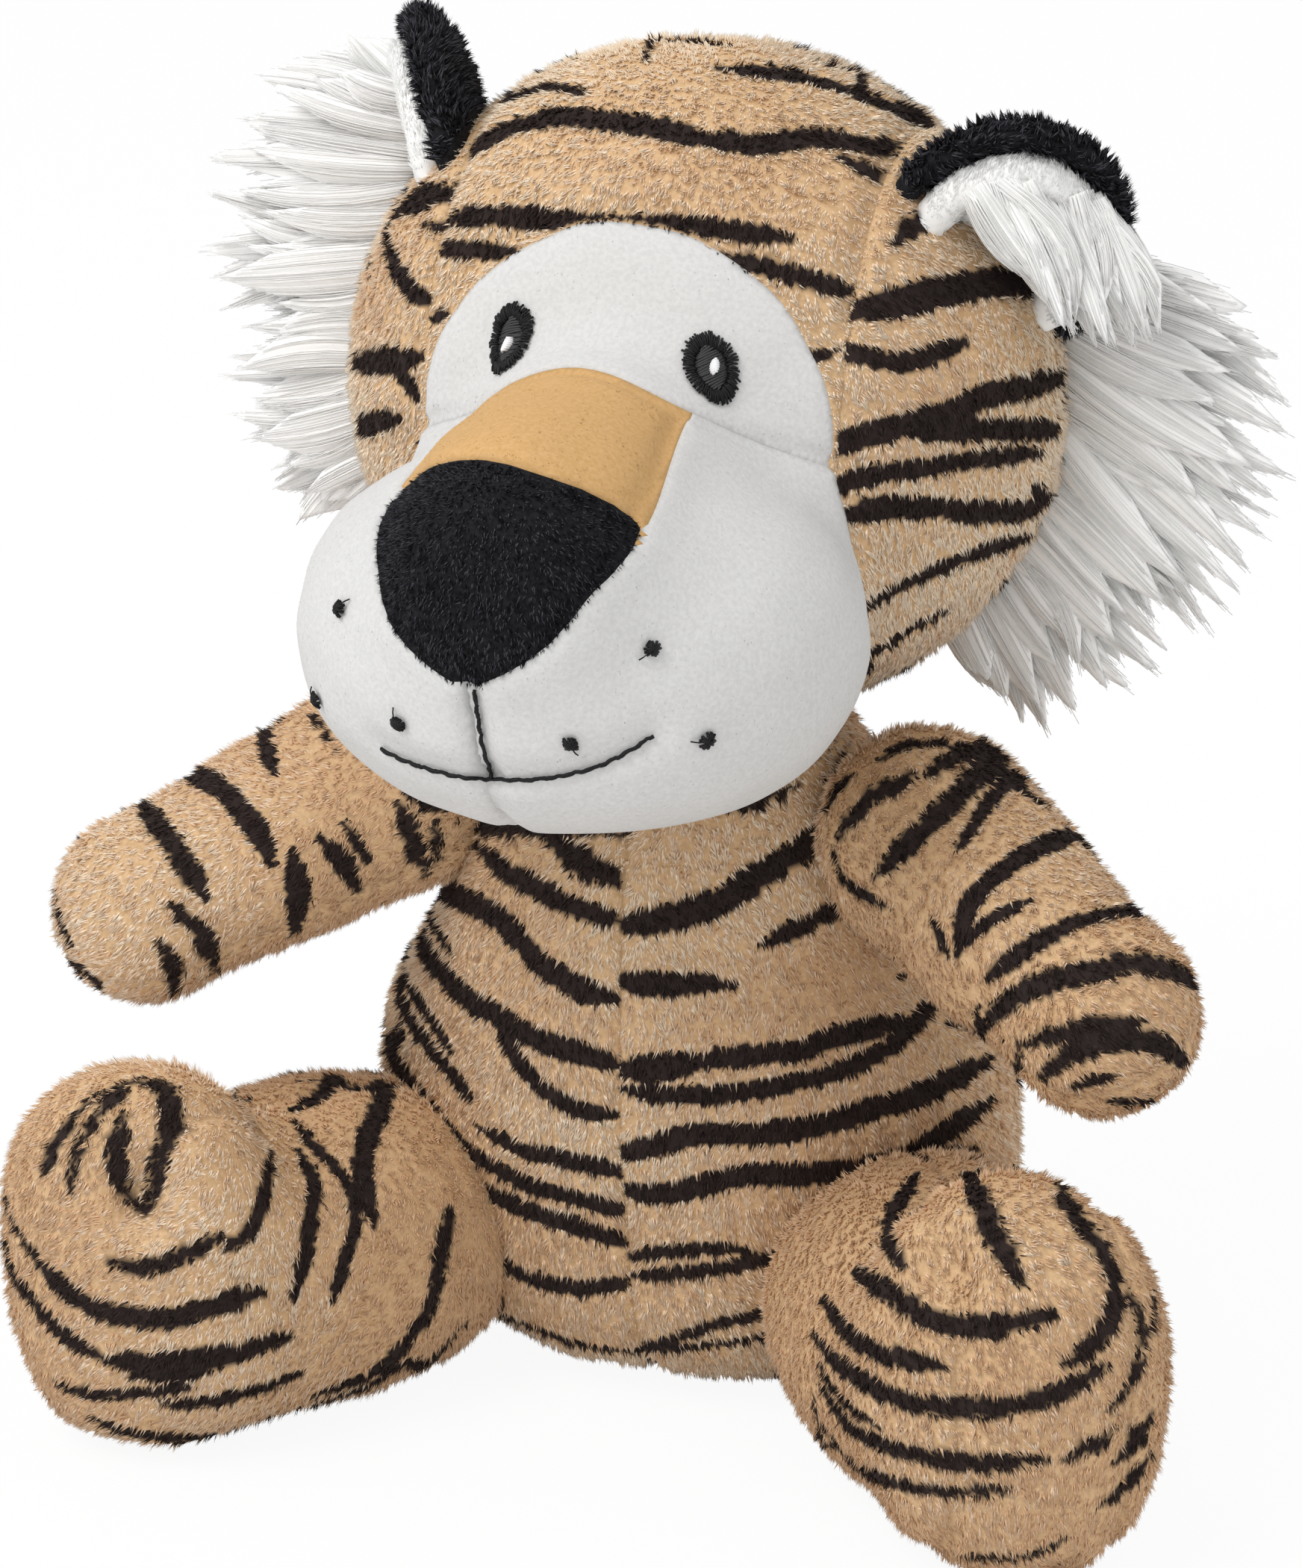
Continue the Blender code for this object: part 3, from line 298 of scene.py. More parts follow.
def waves(points, size, seed):
    """Smooth noise from about -1 to 1 whose features are about a size across."""
    random = np.random.default_rng(seed)
    total = np.zeros(len(points))
    for octave in (1.0, 1.7, 2.9):
        for _ in range(5):
            direction = unit(random.normal(size=3)) * 2.0 * math.pi * octave / (size * 2.2)
            total += np.sin(points @ direction + random.uniform(0.0, 2.0 * math.pi)) / octave
    return total / 4.0


def mass(centre, half, power=2.0, axis=ALONG_HEIGHT):
    return (np.array(centre, float), np.ones(3) * half, power, axis)


def outside(points, form, blend):
    """How far points lie outside the smooth union of rounded masses, negative inside it."""
    total = None
    for centre, half, power, axis in form:
        offset = points - centre
        ratios = np.abs(offset) / half
        across = [index for index in range(3) if index != axis]
        round_reach = np.hypot(ratios[:, across[0]], ratios[:, across[1]])
        reach = (round_reach**power + ratios[:, axis] ** power) ** (1.0 / power)
        distance = np.linalg.norm(offset, axis=1) * (1.0 - 1.0 / np.maximum(reach, 1e-6))
        if total is None:
            total = distance
            continue
        mix = np.maximum(blend - np.abs(total - distance), 0.0) / blend
        total = np.minimum(total, distance) - mix * mix * blend / 4.0
    return total


def on_surface(heart, directions, form, blend):
    near = np.zeros(len(directions))
    far = np.full(len(directions), 0.3)
    for _ in range(30):
        middle = (near + far) / 2.0
        inside = outside(heart + directions * middle[:, None], form, blend) < 0.0
        near = np.where(inside, middle, near)
        far = np.where(inside, far, middle)
    return heart + directions * near[:, None]


def sphere(level):
    """The points and triangles of a unit icosphere."""
    shape = bmesh.new()
    bmesh.ops.create_icosphere(shape, subdivisions=level, radius=1.0)
    points = np.array([vertex.co for vertex in shape.verts])
    faces = np.array([[vertex.index for vertex in face.verts] for face in shape.faces])
    shape.free()
    return points, faces


def point_normals(points, faces):
    corners = points[faces]
    face_normals = np.cross(corners[:, 1] - corners[:, 0], corners[:, 2] - corners[:, 0])
    normals = np.zeros_like(points)
    for index in range(3):
        np.add.at(normals, faces[:, index], face_normals)
    return unit(normals)


def new_mesh(name, points, faces, materials, slots=None, colours=None):
    """An object with a smooth mesh of equal-sided faces, in the scene."""
    points = np.asarray(points, float)
    faces = np.asarray(faces, np.int64)
    count, sides = faces.shape
    mesh = bpy.data.meshes.new(name)
    mesh.vertices.add(len(points))
    mesh.vertices.foreach_set("co", points.astype(np.float32).ravel())
    mesh.loops.add(count * sides)
    mesh.loops.foreach_set("vertex_index", faces.astype(np.int32).ravel())
    mesh.polygons.add(count)
    mesh.polygons.foreach_set("loop_start", np.arange(0, count * sides, sides, dtype=np.int32))
    if slots is not None:
        mesh.polygons.foreach_set("material_index", np.asarray(slots, np.int32))
    mesh.update(calc_edges=True)
    mesh.polygons.foreach_set("use_smooth", np.ones(count, bool))
    if colours is not None:
        layer = mesh.color_attributes.new("print", "FLOAT_COLOR", "POINT")
        rows = np.ones((len(points), 4))
        rows[:, :3] = np.asarray(colours)[:, None] if np.ndim(colours) == 1 else colours
        layer.data.foreach_set("color", rows.astype(np.float32).ravel())
    for material in materials:
        mesh.materials.append(material)
    piece = bpy.data.objects.new(name, mesh)
    bpy.context.scene.collection.objects.link(piece)
    return piece


def add_piece(name, body, node, points, faces, materials, slots=None, colours=None):
    """A mesh that rides on a body and shows a CAD node in its place."""
    piece = new_mesh(name, points, faces, materials, slots, colours)
    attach(piece, body)
    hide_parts(node)
    return piece


def shell(points, normals, faces, thickness):
    """A closed sheet: the faces, a copy moved in, and a wall round the border."""
    used = np.unique(faces)
    place = np.full(len(points), -1)
    place[used] = np.arange(len(used))
    outer = place[faces]
    count = len(used)
    inner = outer[:, ::-1] + count
    edges = np.concatenate([outer[:, (0, 1)], outer[:, (1, 2)], outer[:, (2, 0)]])
    key = np.sort(edges, axis=1) @ np.array((count, 1))
    _, first, times = np.unique(key, return_index=True, return_counts=True)
    border = edges[first[times == 1]]
    low, high = border[:, 0], border[:, 1]
    wall = [np.stack([high, low, low + count], 1), np.stack([high, low + count, high + count], 1)]
    made = np.concatenate([points[used], points[used] - normals[used] * thickness])
    return made, np.concatenate([outer, inner, *wall]), used


def smooth_path(points, steps):
    """Catmull-Rom points through a run of points, with a number of steps in each stretch."""
    points = np.asarray(points, float)
    padded = np.concatenate([[2.0 * points[0] - points[1]], points, [2.0 * points[-1] - points[-2]]])
    found = []
    for index in range(1, len(padded) - 2):
        before, start, end, after = padded[index - 1 : index + 3]
        square = 2.0 * before - 5.0 * start + 4.0 * end - after
        cube = 3.0 * start - before - 3.0 * end + after
        for step in np.arange(steps) / steps:
            found.append(0.5 * (2.0 * start + (end - before) * step + square * step**2 + cube * step**3))
    return np.array([*found, points[-1]])


def tube_faces(rows, sides):
    """The triangles of a tube of rings, with a flat fan at each end."""
    faces = []
    for level in range(rows - 1):
        for index in range(sides):
            low = level * sides + index
            next_low = level * sides + (index + 1) % sides
            faces.append((low, next_low, next_low + sides))
            faces.append((low, next_low + sides, low + sides))
    last = (rows - 1) * sides
    for index in range(1, sides - 1):
        faces.append((0, index + 1, index))
        faces.append((last, last + index, last + index + 1))
    return np.array(faces)


def tube(path, radii, sides):
    """A closed tube along a path."""
    path = np.asarray(path, float)
    run = unit(np.gradient(path, axis=0))
    out = unit(np.cross(run, np.roll(run, 1, axis=1) + 0.31))
    out = unit(out - run * np.sum(out * run, axis=1, keepdims=True))
    side = np.cross(run, out)
    turns = np.arange(sides) * 2.0 * math.pi / sides
    ring = np.cos(turns)[None, :, None] * side[:, None] + np.sin(turns)[None, :, None] * out[:, None]
    points = (path[:, None] + ring * np.asarray(radii)[:, None, None]).reshape(-1, 3)
    return points, tube_faces(len(path), sides)


def joined(parts):
    """Several (points, faces) as one."""
    points, faces, start = [], [], 0
    for some_points, some_faces in parts:
        points.append(some_points)
        faces.append(some_faces + start)
        start += len(some_points)
    return np.concatenate(points), np.concatenate(faces)


# The camera's place and directions
CAMERA_BACK = np.array(
    (
        math.sin(CAMERA_AZIMUTH) * math.cos(CAMERA_ELEVATION),
        -math.cos(CAMERA_AZIMUTH) * math.cos(CAMERA_ELEVATION),
        math.sin(CAMERA_ELEVATION),
    )
)
CAMERA_RIGHT = unit(np.cross((0.0, 0.0, 1.0), CAMERA_BACK))
CAMERA_UP = np.cross(CAMERA_BACK, CAMERA_RIGHT)
CAMERA_PLACE = CAMERA_TARGET + CAMERA_BACK * CAMERA_DISTANCE


def photo_direction(spot):
    across = (spot[0] - PHOTO_VIEW[0] / 2.0) * VIEW_PIXEL
    up = (PHOTO_VIEW[1] / 2.0 - spot[1]) * VIEW_PIXEL
    return unit(-CAMERA_BACK * CAMERA_DISTANCE + CAMERA_RIGHT * across + CAMERA_UP * up)


def photo_spots(points):
    """Where points fall in the photograph, and how far they are from the camera."""
    offset = points - CAMERA_PLACE
    depth = -(offset @ CAMERA_BACK)
    across = (offset @ CAMERA_RIGHT) / depth * CAMERA_DISTANCE / VIEW_PIXEL + PHOTO_VIEW[0] / 2.0
    down = PHOTO_VIEW[1] / 2.0 - (offset @ CAMERA_UP) / depth * CAMERA_DISTANCE / VIEW_PIXEL
    return np.stack([across, down], 1), depth


SIDES = (("left", 1.0), ("right", -1.0))
JOINT_PLACE = {joint["name"]: np.array(joint["pos_m"], float) for joint in frame["joints"]}
TOP = np.array((0.0, 0.0, BODY_SIZE[2]))
BODY_FORM = [
    mass(BODY_SIZE * (0.0, 0.0, 0.340), BODY_SIZE * (0.5, 0.5, 0.34424), 3.0),
    mass(BODY_SIZE * (0.0, -0.105, 0.66), BODY_SIZE * (0.36, 0.447, 0.44)),
]
HEAD_FORM = [
    mass(TOP + HEAD_SIZE * (0.0, 0.03, 0.435), HEAD_SIZE / 2.0),
    mass(TOP + MUZZLE_SIZE * (0.0, -0.675, 0.42), MUZZLE_SIZE / 2.0, 2.2),
    mass(TOP + BRIDGE_SIZE * (0.0, -0.735, 0.955), BRIDGE_SIZE / 2.0, 3.0, ALONG_DEPTH),
]
ARM_HEADING = math.radians(-35.0)
ARM_DROP = {"left": math.radians(20.0), "right": math.radians(23.0)}
LEG_HEADING = {"left": math.radians(-55.5), "right": math.radians(-58.0)}


def heading(angle, drop, side):
    level = math.cos(drop)
    return np.array((level * math.cos(angle) * side, level * math.sin(angle), -math.sin(drop)))


def arm_form(word, side):
    shoulder = JOINT_PLACE[f"shoulder_{word}_lift"]
    along = heading(ARM_HEADING, ARM_DROP[word], side)
    reach = ARM_LENGTH - PAW / 2.0
    form = [
        mass(shoulder, ARM_ROOT / 2.0),
        mass(shoulder + along * reach / 2.0, (ARM_ROOT + PAW) / 4.0),
        mass(shoulder + along * reach, PAW / 2.0),
    ]
    return form, shoulder, along, shoulder + along * reach / 2.0


def leg_form(word, side):
    hip = JOINT_PLACE[f"hip_{word}_splay"]
    along = heading(LEG_HEADING[word], 0.0, side)
    foot_half = FOOT_SIZE / 2.0
    shin_half = foot_half * 0.80
    reach = LEG_LENGTH - foot_half[1]
    shin = hip + along * reach * 0.42
    shin[2] = shin_half[2] - FLOOR_FLAT_DEPTH
    foot = hip + along * reach
    foot[2] = foot_half[2] - FLOOR_FLAT_DEPTH
    thigh = np.array((hip[0], hip[1], LEG_ROOT[2] / 2.0))
    form = [
        mass(thigh, LEG_ROOT / 2.0),
        mass(shin, (foot_half[0], foot_half[0], shin_half[2]), 2.4),
        mass(foot, foot_half, 2.4),
    ]
    return form, hip, along, hip + along * reach / 2.0


# Which panel each point belongs to, and how far it is from the nearest seam
def body_panels(points):
    x, y, z = points.T
    names = ["base_panel", "body_front_left", "body_front_right", "body_back_left", "body_back_right"]
    which = 1 + (x < 0.0) + 2 * (y > SIDE_SEAM)
    which[z < BASE_PANEL_RISE] = 0
    return names, which, np.minimum(np.abs(x), np.abs(y - SIDE_SEAM))


def head_panels(points):
    x, y, z = points.T
    rise = z - TOP[2]
    centred = x + FACE_SHIFT
    names = ["forehead_panel", "side_panel_left", "side_panel_right", "face_panel", "muzzle_left"]
    names += ["muzzle_right", "nose_bridge", "nose"]
    ahead = (y - FACE_SEAM[0]) * math.cos(FACE_SEAM_TILT) - (rise - FACE_SEAM[1]) * math.sin(FACE_SEAM_TILT)
    meet = FACE_SEAM[0] + (MUZZLE_SEAM_RISE - FACE_SEAM[1]) * math.tan(FACE_SEAM_TILT)
    above = (rise - MUZZLE_SEAM_RISE) * math.cos(MUZZLE_SEAM_TILT)
    above += (y - meet) * math.sin(MUZZLE_SEAM_TILT)
    along = smooth((y - BRIDGE_RUN[0]) / (BRIDGE_RUN[1] - BRIDGE_RUN[0]))
    half = BRIDGE_HALF[0] + (BRIDGE_HALF[1] - BRIDGE_HALF[0]) * along
    above -= BRIDGE_ARCH * smooth(1.0 - np.abs(centred) / half)
    gusset = (np.abs(x) < FOREHEAD_HALF) & ((rise > THROAT_RISE) | (y > 0.0))
    which = np.where(gusset, 0, 1 + (x < 0.0))
    seam = np.where((rise > THROAT_RISE) | (y > 0.0), np.abs(np.abs(x) - FOREHEAD_HALF), NO_SEAM)
    front = ahead < 0.0
    bridge = (np.abs(centred) < half) & (rise > NOSE_RISE + BRIDGE_FOOT) & (above < 0.0)
    nose = nose_distance(centred, rise + (y - NOSE_FRONT) * math.tan(CAMERA_ELEVATION))
    muzzle = np.where(bridge, 6, 4 + (centred < 0.0))
    muzzle = np.where((nose < 0.0) & (y < NOSE_BACK), 7, muzzle)
    which = np.where(front, np.where(above > 0.0, 3, muzzle), which)
    edge = np.where(rise > NOSE_RISE + BRIDGE_FOOT, np.abs(np.abs(centred) - half), NO_SEAM)
    centre = np.where(rise < NOSE_RISE - CENTRE_SEAM_DROP, np.abs(centred), NO_SEAM)
    low = np.minimum(np.minimum(edge, centre), np.where(y < NOSE_BACK, np.abs(nose), NO_SEAM))
    front_seam = np.minimum(np.abs(above), np.where(above < 0.0, low, NO_SEAM))
    return names, which, np.minimum(np.abs(ahead), np.where(front, front_seam, seam))


def nose_distance(x, rise):
    """Roughly how far outside the nose's outline a place on the front is."""
    right = np.array(NOSE_OUTLINE) * NOSE_SIZE
    outline = np.concatenate([right, (right * (-1.0, 1.0))[:0:-1]])
    spot = np.stack([x, rise - NOSE_RISE], 1)
    best = np.full(len(spot), NO_SEAM)
    inside = np.zeros(len(spot), bool)
    for start, end in zip(outline, np.roll(outline, -1, axis=0)):
        run = end - start
        share = np.clip(((spot - start) @ run) / (run @ run), 0.0, 1.0)
        best = np.minimum(best, np.linalg.norm(spot - start - share[:, None] * run, axis=1))
        crosses = (start[1] > spot[:, 1]) != (end[1] > spot[:, 1])
        reach = start[0] + (spot[:, 1] - start[1]) * run[0] / (run[1] if run[1] else 1e-9)
        inside ^= crosses & (spot[:, 0] < reach)
    return np.where(inside, -best, best)


def arm_panels(word, side):
    _, shoulder, along, _ = arm_form(word, side)
    across = unit(np.cross(along, (0.0, 0.0, 1.0)))
    up = np.cross(across, along)
    tilt = ARM_SEAM_TILT * side
    normal = up * math.cos(tilt) + np.cross(along, up) * math.sin(tilt)

    def panels(points):
        height = (points - shoulder) @ normal
        names = [f"arm_{word}_upper_panel", f"arm_{word}_lower_panel"]
        return names, (height < 0.0).astype(int), np.abs(height)

    return panels


def leg_panels(word, side):
    _, hip, along, _ = leg_form(word, side)
    outward = np.cross(along, (0.0, 0.0, 1.0)) * -side
    ankle = LEG_LENGTH - FOOT_SIZE[1] * ANKLE_SHARE
    sole = FOOT_SIZE[2] * SOLE_SHARE

    def panels(points):
        offset = points - hip
        across = offset @ outward
        reach = offset @ along
        strip_run = (reach > ankle) | (points[:, 2] < sole)
        strip = (np.abs(across) < FOOT_PANEL_HALF) & strip_run
        names = [f"leg_{word}_inner_panel", f"leg_{word}_outer_panel", f"foot_{word}_panel"]
        which = np.where(strip, 2, (across > 0.0).astype(int))
        edge = np.where(strip_run, np.abs(np.abs(across) - FOOT_PANEL_HALF), np.abs(across))
        end = np.where(np.abs(across) < FOOT_PANEL_HALF, np.abs(reach - ankle), NO_SEAM)
        return names, which, np.minimum(edge, np.where(points[:, 2] > sole, end, NO_SEAM))

    return panels


class Form:
    """One stuffed form: its masses, its fine skin, and the panels that its skin is cut into."""

    def __init__(self, name, body, form, blend, heart, level, panels):
        self.name = name
        self.body = body
        self.form = form
        self.blend = blend
        self.heart = np.array(heart)
        self.panels = panels
        directions, self.faces = sphere(level)
        self.points = on_surface(self.heart, directions, form, blend)
        self.seat()

    def seat(self):
        """Draw the skin in by the pile's depth and further at the seams, with soft wrinkles."""
        normals = point_normals(self.points, self.faces)
        _, _, seam = self.panels(self.points)
        depth = BACKING_DEPTH + SEAM_DEPTH * np.exp(-((seam / SEAM_WIDTH) ** 2))
        depth -= WRINKLE_HEIGHT * waves(self.points, WRINKLE_SIZE, 11)
        self.points = self.points - normals * depth[:, None]
        self.points[:, 2] = np.maximum(self.points[:, 2], LOWEST_SKIN)
        self.snap()
        self.finish()

    def snap(self):
        """Move the points nearest each panel's border onto it, so that panels are cut along smooth lines."""
        edges = np.concatenate([self.faces[:, (0, 1)], self.faces[:, (1, 2)], self.faces[:, (2, 0)]])
        edges = edges[edges[:, 0] < edges[:, 1]]
        which = self.panels(self.points)[1]
        edges = edges[which[edges[:, 0]] != which[edges[:, 1]]]
        start, run = self.points[edges[:, 0]], self.points[edges[:, 1]] - self.points[edges[:, 0]]
        low, high = np.zeros(len(edges)), np.ones(len(edges))
        for _ in range(12):
            middle = (low + high) / 2.0
            same = self.panels(start + run * middle[:, None])[1] == which[edges[:, 0]]
            low, high = np.where(same, middle, low), np.where(same, high, middle)
        crossing = start + run * high[:, None]
        mover = np.where(high < 0.5, edges[:, 0], edges[:, 1])
        order = np.argsort(-np.minimum(high, 1.0 - high), kind="stable")
        self.points[mover[order]] = crossing[order]

    def finish(self):
        self.normals = point_normals(self.points, self.faces)
        self.tree = BVHTree.FromPolygons(self.points.tolist(), self.faces.tolist())

    def press(self, spots, radius, depth):
        """Push the skin in along a run of photo points, or round one."""
        route = smooth_path(spots, 6) if len(spots) > 1 else spots
        gap = np.full(len(self.points), 9.0)
        for centre in [self.cast(spot) for spot in route]:
            gap = np.minimum(gap, np.linalg.norm(self.points - centre, axis=1) / radius)
        self.points = self.points - self.normals * (depth * np.exp(-gap * gap))[:, None]
        self.finish()

    def cast(self, spot):
        """The place of a photo point on the skin, or the nearest place to its line of sight."""
        direction = photo_direction(spot)
        found = self.tree.ray_cast(Vector(CAMERA_PLACE), Vector(direction))[0]
        if found is None:
            depth = np.linalg.norm(self.heart - CAMERA_PLACE)
            found = self.tree.find_nearest(Vector(CAMERA_PLACE + direction * depth))[0]
        return np.array(found)


HEAD_HEART = TOP + HEAD_SIZE * (0.0, -0.22, 0.37)
BODY_HEART = BODY_SIZE * (0.0, -0.05, 0.45)
FORMS = {
    "head": Form("head", "head", HEAD_FORM, HEAD_BLEND, HEAD_HEART, 7, head_panels),
    "body": Form("body", "trunk", BODY_FORM, BODY_BLEND, BODY_HEART, 7, body_panels),
}
ALONG = {}
for word, side in SIDES:
    limbs = (("arm", arm_form, arm_panels, ARM_BLEND), ("leg", leg_form, leg_panels, LEG_BLEND))
    for limb, limb_form, limb_panels, blend in limbs:
        name = f"{limb}_{word}"
        masses, _, ALONG[name], heart = limb_form(word, side)
        FORMS[name] = Form(name, name, masses, blend, heart, 6, limb_panels(word, side))
# Where stitching draws the stuffed skin in: the form, a run of photo points, how wide and how deep
PRESSES = (
    ("leg_right", ((92, 800),), 0.0060, 0.0038),
    ("leg_left", ((628, 850),), 0.0060, 0.0038),
    ("leg_right", ((92, 800), (110, 820), (150, 850), (190, 872)), 0.0020, 0.0010),
    ("head", ((256, 500), (290, 514), (331, 521), (372, 519), (414, 506), (437, 492)), 0.0028, 0.0012),
    ("head", ((319, 461), (322, 485), (326, 505), (331, 520)), 0.0024, 0.0010),
    ("head", ((331, 521), (336, 540), (345, 560)), 0.0022, 0.0008),
)
for name, spots, radius, depth in PRESSES:
    FORMS[name].press(spots, radius, depth)

# How far off the nearest form is in each small cell of the photograph
SIGHT_CELL = 8.0
SIGHT_SLACK = 0.008
SIGHT_TILT = -0.15
sight = {}
for form in FORMS.values():
    spots, depths = photo_spots(form.points)
    for cell, depth in zip(map(tuple, (spots // SIGHT_CELL).astype(int)), depths):
        sight[cell] = min(sight.get(cell, 9.0), depth)


def seen(points, normals):
    """True where the photograph's camera sees a place on the forms."""
    spots, depths = photo_spots(points)
    cells = map(tuple, (spots // SIGHT_CELL).astype(int))
    nearest = np.array([sight.get(cell, 9.0) for cell in cells])
    return (depths < nearest + SIGHT_SLACK) & (normals @ CAMERA_BACK > SIGHT_TILT)


STRIPE_SPREAD = 1.08


# Printed stripes: each is cast onto its form once, then a point is dark within its half width
def stripe_lines(form, stripes):
    lines = []
    for width, spots in stripes:
        route = smooth_path(np.array(spots, float), 5)
        path = np.array([form.cast(spot) for spot in route])
        run = np.concatenate([[0.0], np.cumsum(np.linalg.norm(np.diff(route, axis=0), axis=1))])
        ends = np.minimum(run, run[-1] - run) / (1.3 * width)
        half = width * STRIPE_SPREAD * VIEW_PIXEL / 2.0 * (0.45 + 0.55 * smooth(ends))
        lines.append((path, half))
    return lines


def on_lines(points, lines):
    dark = np.zeros(len(points), bool)
    for path, half in lines:
        reach = half.max()
        near = np.flatnonzero(((points > path.min(0) - reach) & (points < path.max(0) + reach)).all(1))
        some = points[near]
        hit = np.zeros(len(near), bool)
        for start, end, low, high in zip(path[:-1], path[1:], half[:-1], half[1:]):
            run = end - start
            share = np.clip(((some - start) @ run) / max(run @ run, 1e-12), 0.0, 1.0)
            gap = np.linalg.norm(some - start - share[:, None] * run, axis=1)
            hit |= gap < low + (high - low) * share
        dark[near] |= hit
    return dark


STRIPE_PITCH = 0.0115
STRIPE_WAVE, STRIPE_SWELL = 0.034, 0.020
# The way that the rule's stripes follow each other, and the way that the pile lies
STRIPE_LEAN = {"head": (0.0, 0.15, 1.0), "body": (0.0, 0.0, 1.0), "tail": (-0.4, 0.9, 0.0)}
FLOWS = {"head": (0.15, -0.35, -1.0), "body": (0.1, 0.0, -1.0)}
for word, side in SIDES:
    STRIPE_LEAN[f"arm_{word}"] = FLOWS[f"arm_{word}"] = ALONG[f"arm_{word}"]
    STRIPE_LEAN[f"leg_{word}"] = (0.5 * side, -0.5, 0.7)
    FLOWS[f"leg_{word}"] = ALONG[f"leg_{word}"] + (0.0, 0.0, -0.8)


def rule_stripes(points, name):
    """Stripes by rule where the photograph shows none: wavy bands that swell, fade and end."""
    lean = unit(STRIPE_LEAN[name])
    seed = sum(map(ord, name))
    height = points @ lean / STRIPE_PITCH + 0.55 * waves(points, STRIPE_WAVE, seed)
    width = 0.13 + 0.16 * waves(points, STRIPE_SWELL, seed + 1)
    return np.abs(height % 1.0 - 0.5) < width


LINES = {where: stripe_lines(FORMS[name], stripes) for name, where, stripes in STRIPES}
PRINT_FUZZ, PRINT_FUZZ_SIZE = 0.00022, 0.003


def printed(form_name, panel, points, normals):
    """True where a panel's print is dark."""
    fuzz = points + PRINT_FUZZ * np.stack([waves(points, PRINT_FUZZ_SIZE, seed) for seed in (1, 2, 3)], 1)
    by_hand = on_lines(fuzz, LINES.get(panel, LINES.get(form_name, [])))
    return by_hand | (rule_stripes(fuzz, form_name) & ~seen(points, normals))


# Colours in linear light. Pile has several shades, dealt out fibre by fibre
SHADES = {
    "tan": ((0.98, 0.83, 0.65), (0.90, 0.69, 0.50), (0.78, 0.52, 0.32)),
    "stripe": ((0.026, 0.017, 0.015), (0.050, 0.034, 0.030)),
    "white": ((0.63, 0.625, 0.62), (0.605, 0.60, 0.595)),
    "bridge": ((0.69, 0.45, 0.22), (0.61, 0.38, 0.17)),
    # The third, lighter and bluish black is a painted highlight: glints on the curls of the nose and ear pile
    "black": ((0.004, 0.004, 0.005), (0.013, 0.013, 0.016), (0.070, 0.070, 0.082)),
    # The lining is far lighter than the face's white, the same white plush: painted light, lifting the shade
    # inside the ears
    "lining": ((0.90, 0.895, 0.88), (0.87, 0.865, 0.85)),
}
HAIR_SHADES = ((0.96, 0.955, 0.945), (0.94, 0.935, 0.92), (0.90, 0.89, 0.87))
THREAD_SHADES = {"black": (0.010, 0.010, 0.011), "grey": (0.050, 0.050, 0.052), "white": (0.88, 0.88, 0.90)}
KNITS = {
    # The tan knit is far darker and more orange than the tan pile: painted shade in the gaps between tufts
    "tan": ((0.54, 0.355, 0.19), (0.66, 0.45, 0.26)),
    "white": ((0.58, 0.575, 0.565), (0.64, 0.635, 0.625)),
    "bridge": ((0.55, 0.33, 0.13), (0.62, 0.38, 0.17)),
    "black": SHADES["black"][:2],
    # The lining knit takes the lining's lightened white: painted light inside the ears
    "lining": SHADES["lining"][::-1],
}
FILLING_KNIT = ((0.85, 0.85, 0.84), (0.90, 0.90, 0.89))
PILE_ROUGHNESS, HAIR_ROUGHNESS, THREAD_ROUGHNESS, KNIT_ROUGHNESS = 0.85, 0.6, 0.45, 0.9
FIBRE_SHINE, KNIT_SHINE = 0.15, 0.2
KNIT_GRAIN, FILLING_GRAIN = 1400.0, 600.0
KNIT_RAMP = (0.35, 0.65)
KNIT_BUMP, KNIT_BUMP_HEIGHT = 0.4, 0.0002


def new_material(name, roughness, shine):
    """A material, and its surface node with no colour yet."""
    material = bpy.data.materials.new(name)
    material.use_nodes = True
    shader = material.node_tree.nodes["Principled BSDF"]
    shader.inputs["Roughness"].default_value = roughness
    shader.inputs["Specular IOR Level"].default_value = shine
    return material, shader


def fibre_material(name, colour, roughness):
    material, shader = new_material(name, roughness, FIBRE_SHINE)
    shader.inputs["Base Color"].default_value = (*colour, 1.0)
    return material


def shade_materials(name, shades, roughness):
    return [fibre_material(f"{name}_{index}", shade, roughness) for index, shade in enumerate(shades, 1)]


def fabric_material(name, knit, dark=None, grain=KNIT_GRAIN):
    """Knitted backing: two shades in a fine grain, and a dark print where the mesh says so."""
    material, shader = new_material(name, KNIT_ROUGHNESS, KNIT_SHINE)
    nodes, links = material.node_tree.nodes, material.node_tree.links
    place = nodes.new("ShaderNodeTexCoord")
    noise = nodes.new("ShaderNodeTexNoise")
    noise.inputs["Scale"].default_value = grain
    noise.inputs["Detail"].default_value = 3.0
    links.new(place.outputs["Object"], noise.inputs["Vector"])
    ramp = nodes.new("ShaderNodeValToRGB")
    for element, position, shade in zip(ramp.color_ramp.elements, KNIT_RAMP, knit):
        element.position = position
        element.color = (*shade, 1.0)
    links.new(noise.outputs["Fac"], ramp.inputs["Fac"])
    colour = ramp.outputs["Color"]
    if dark is not None:
        layer = nodes.new("ShaderNodeVertexColor")
        layer.layer_name = "print"
        mix = nodes.new("ShaderNodeMix")
        mix.data_type = "RGBA"
        links.new(layer.outputs["Color"], mix.inputs["Factor"])
        links.new(colour, mix.inputs["A"])
        mix.inputs["B"].default_value = (*dark, 1.0)
        colour = mix.outputs["Result"]
    links.new(colour, shader.inputs["Base Color"])
    relief = nodes.new("ShaderNodeBump")
    relief.inputs["Strength"].default_value = KNIT_BUMP
    relief.inputs["Distance"].default_value = KNIT_BUMP_HEIGHT
    links.new(noise.outputs["Fac"], relief.inputs["Height"])
    links.new(relief.outputs["Normal"], shader.inputs["Normal"])
    return material


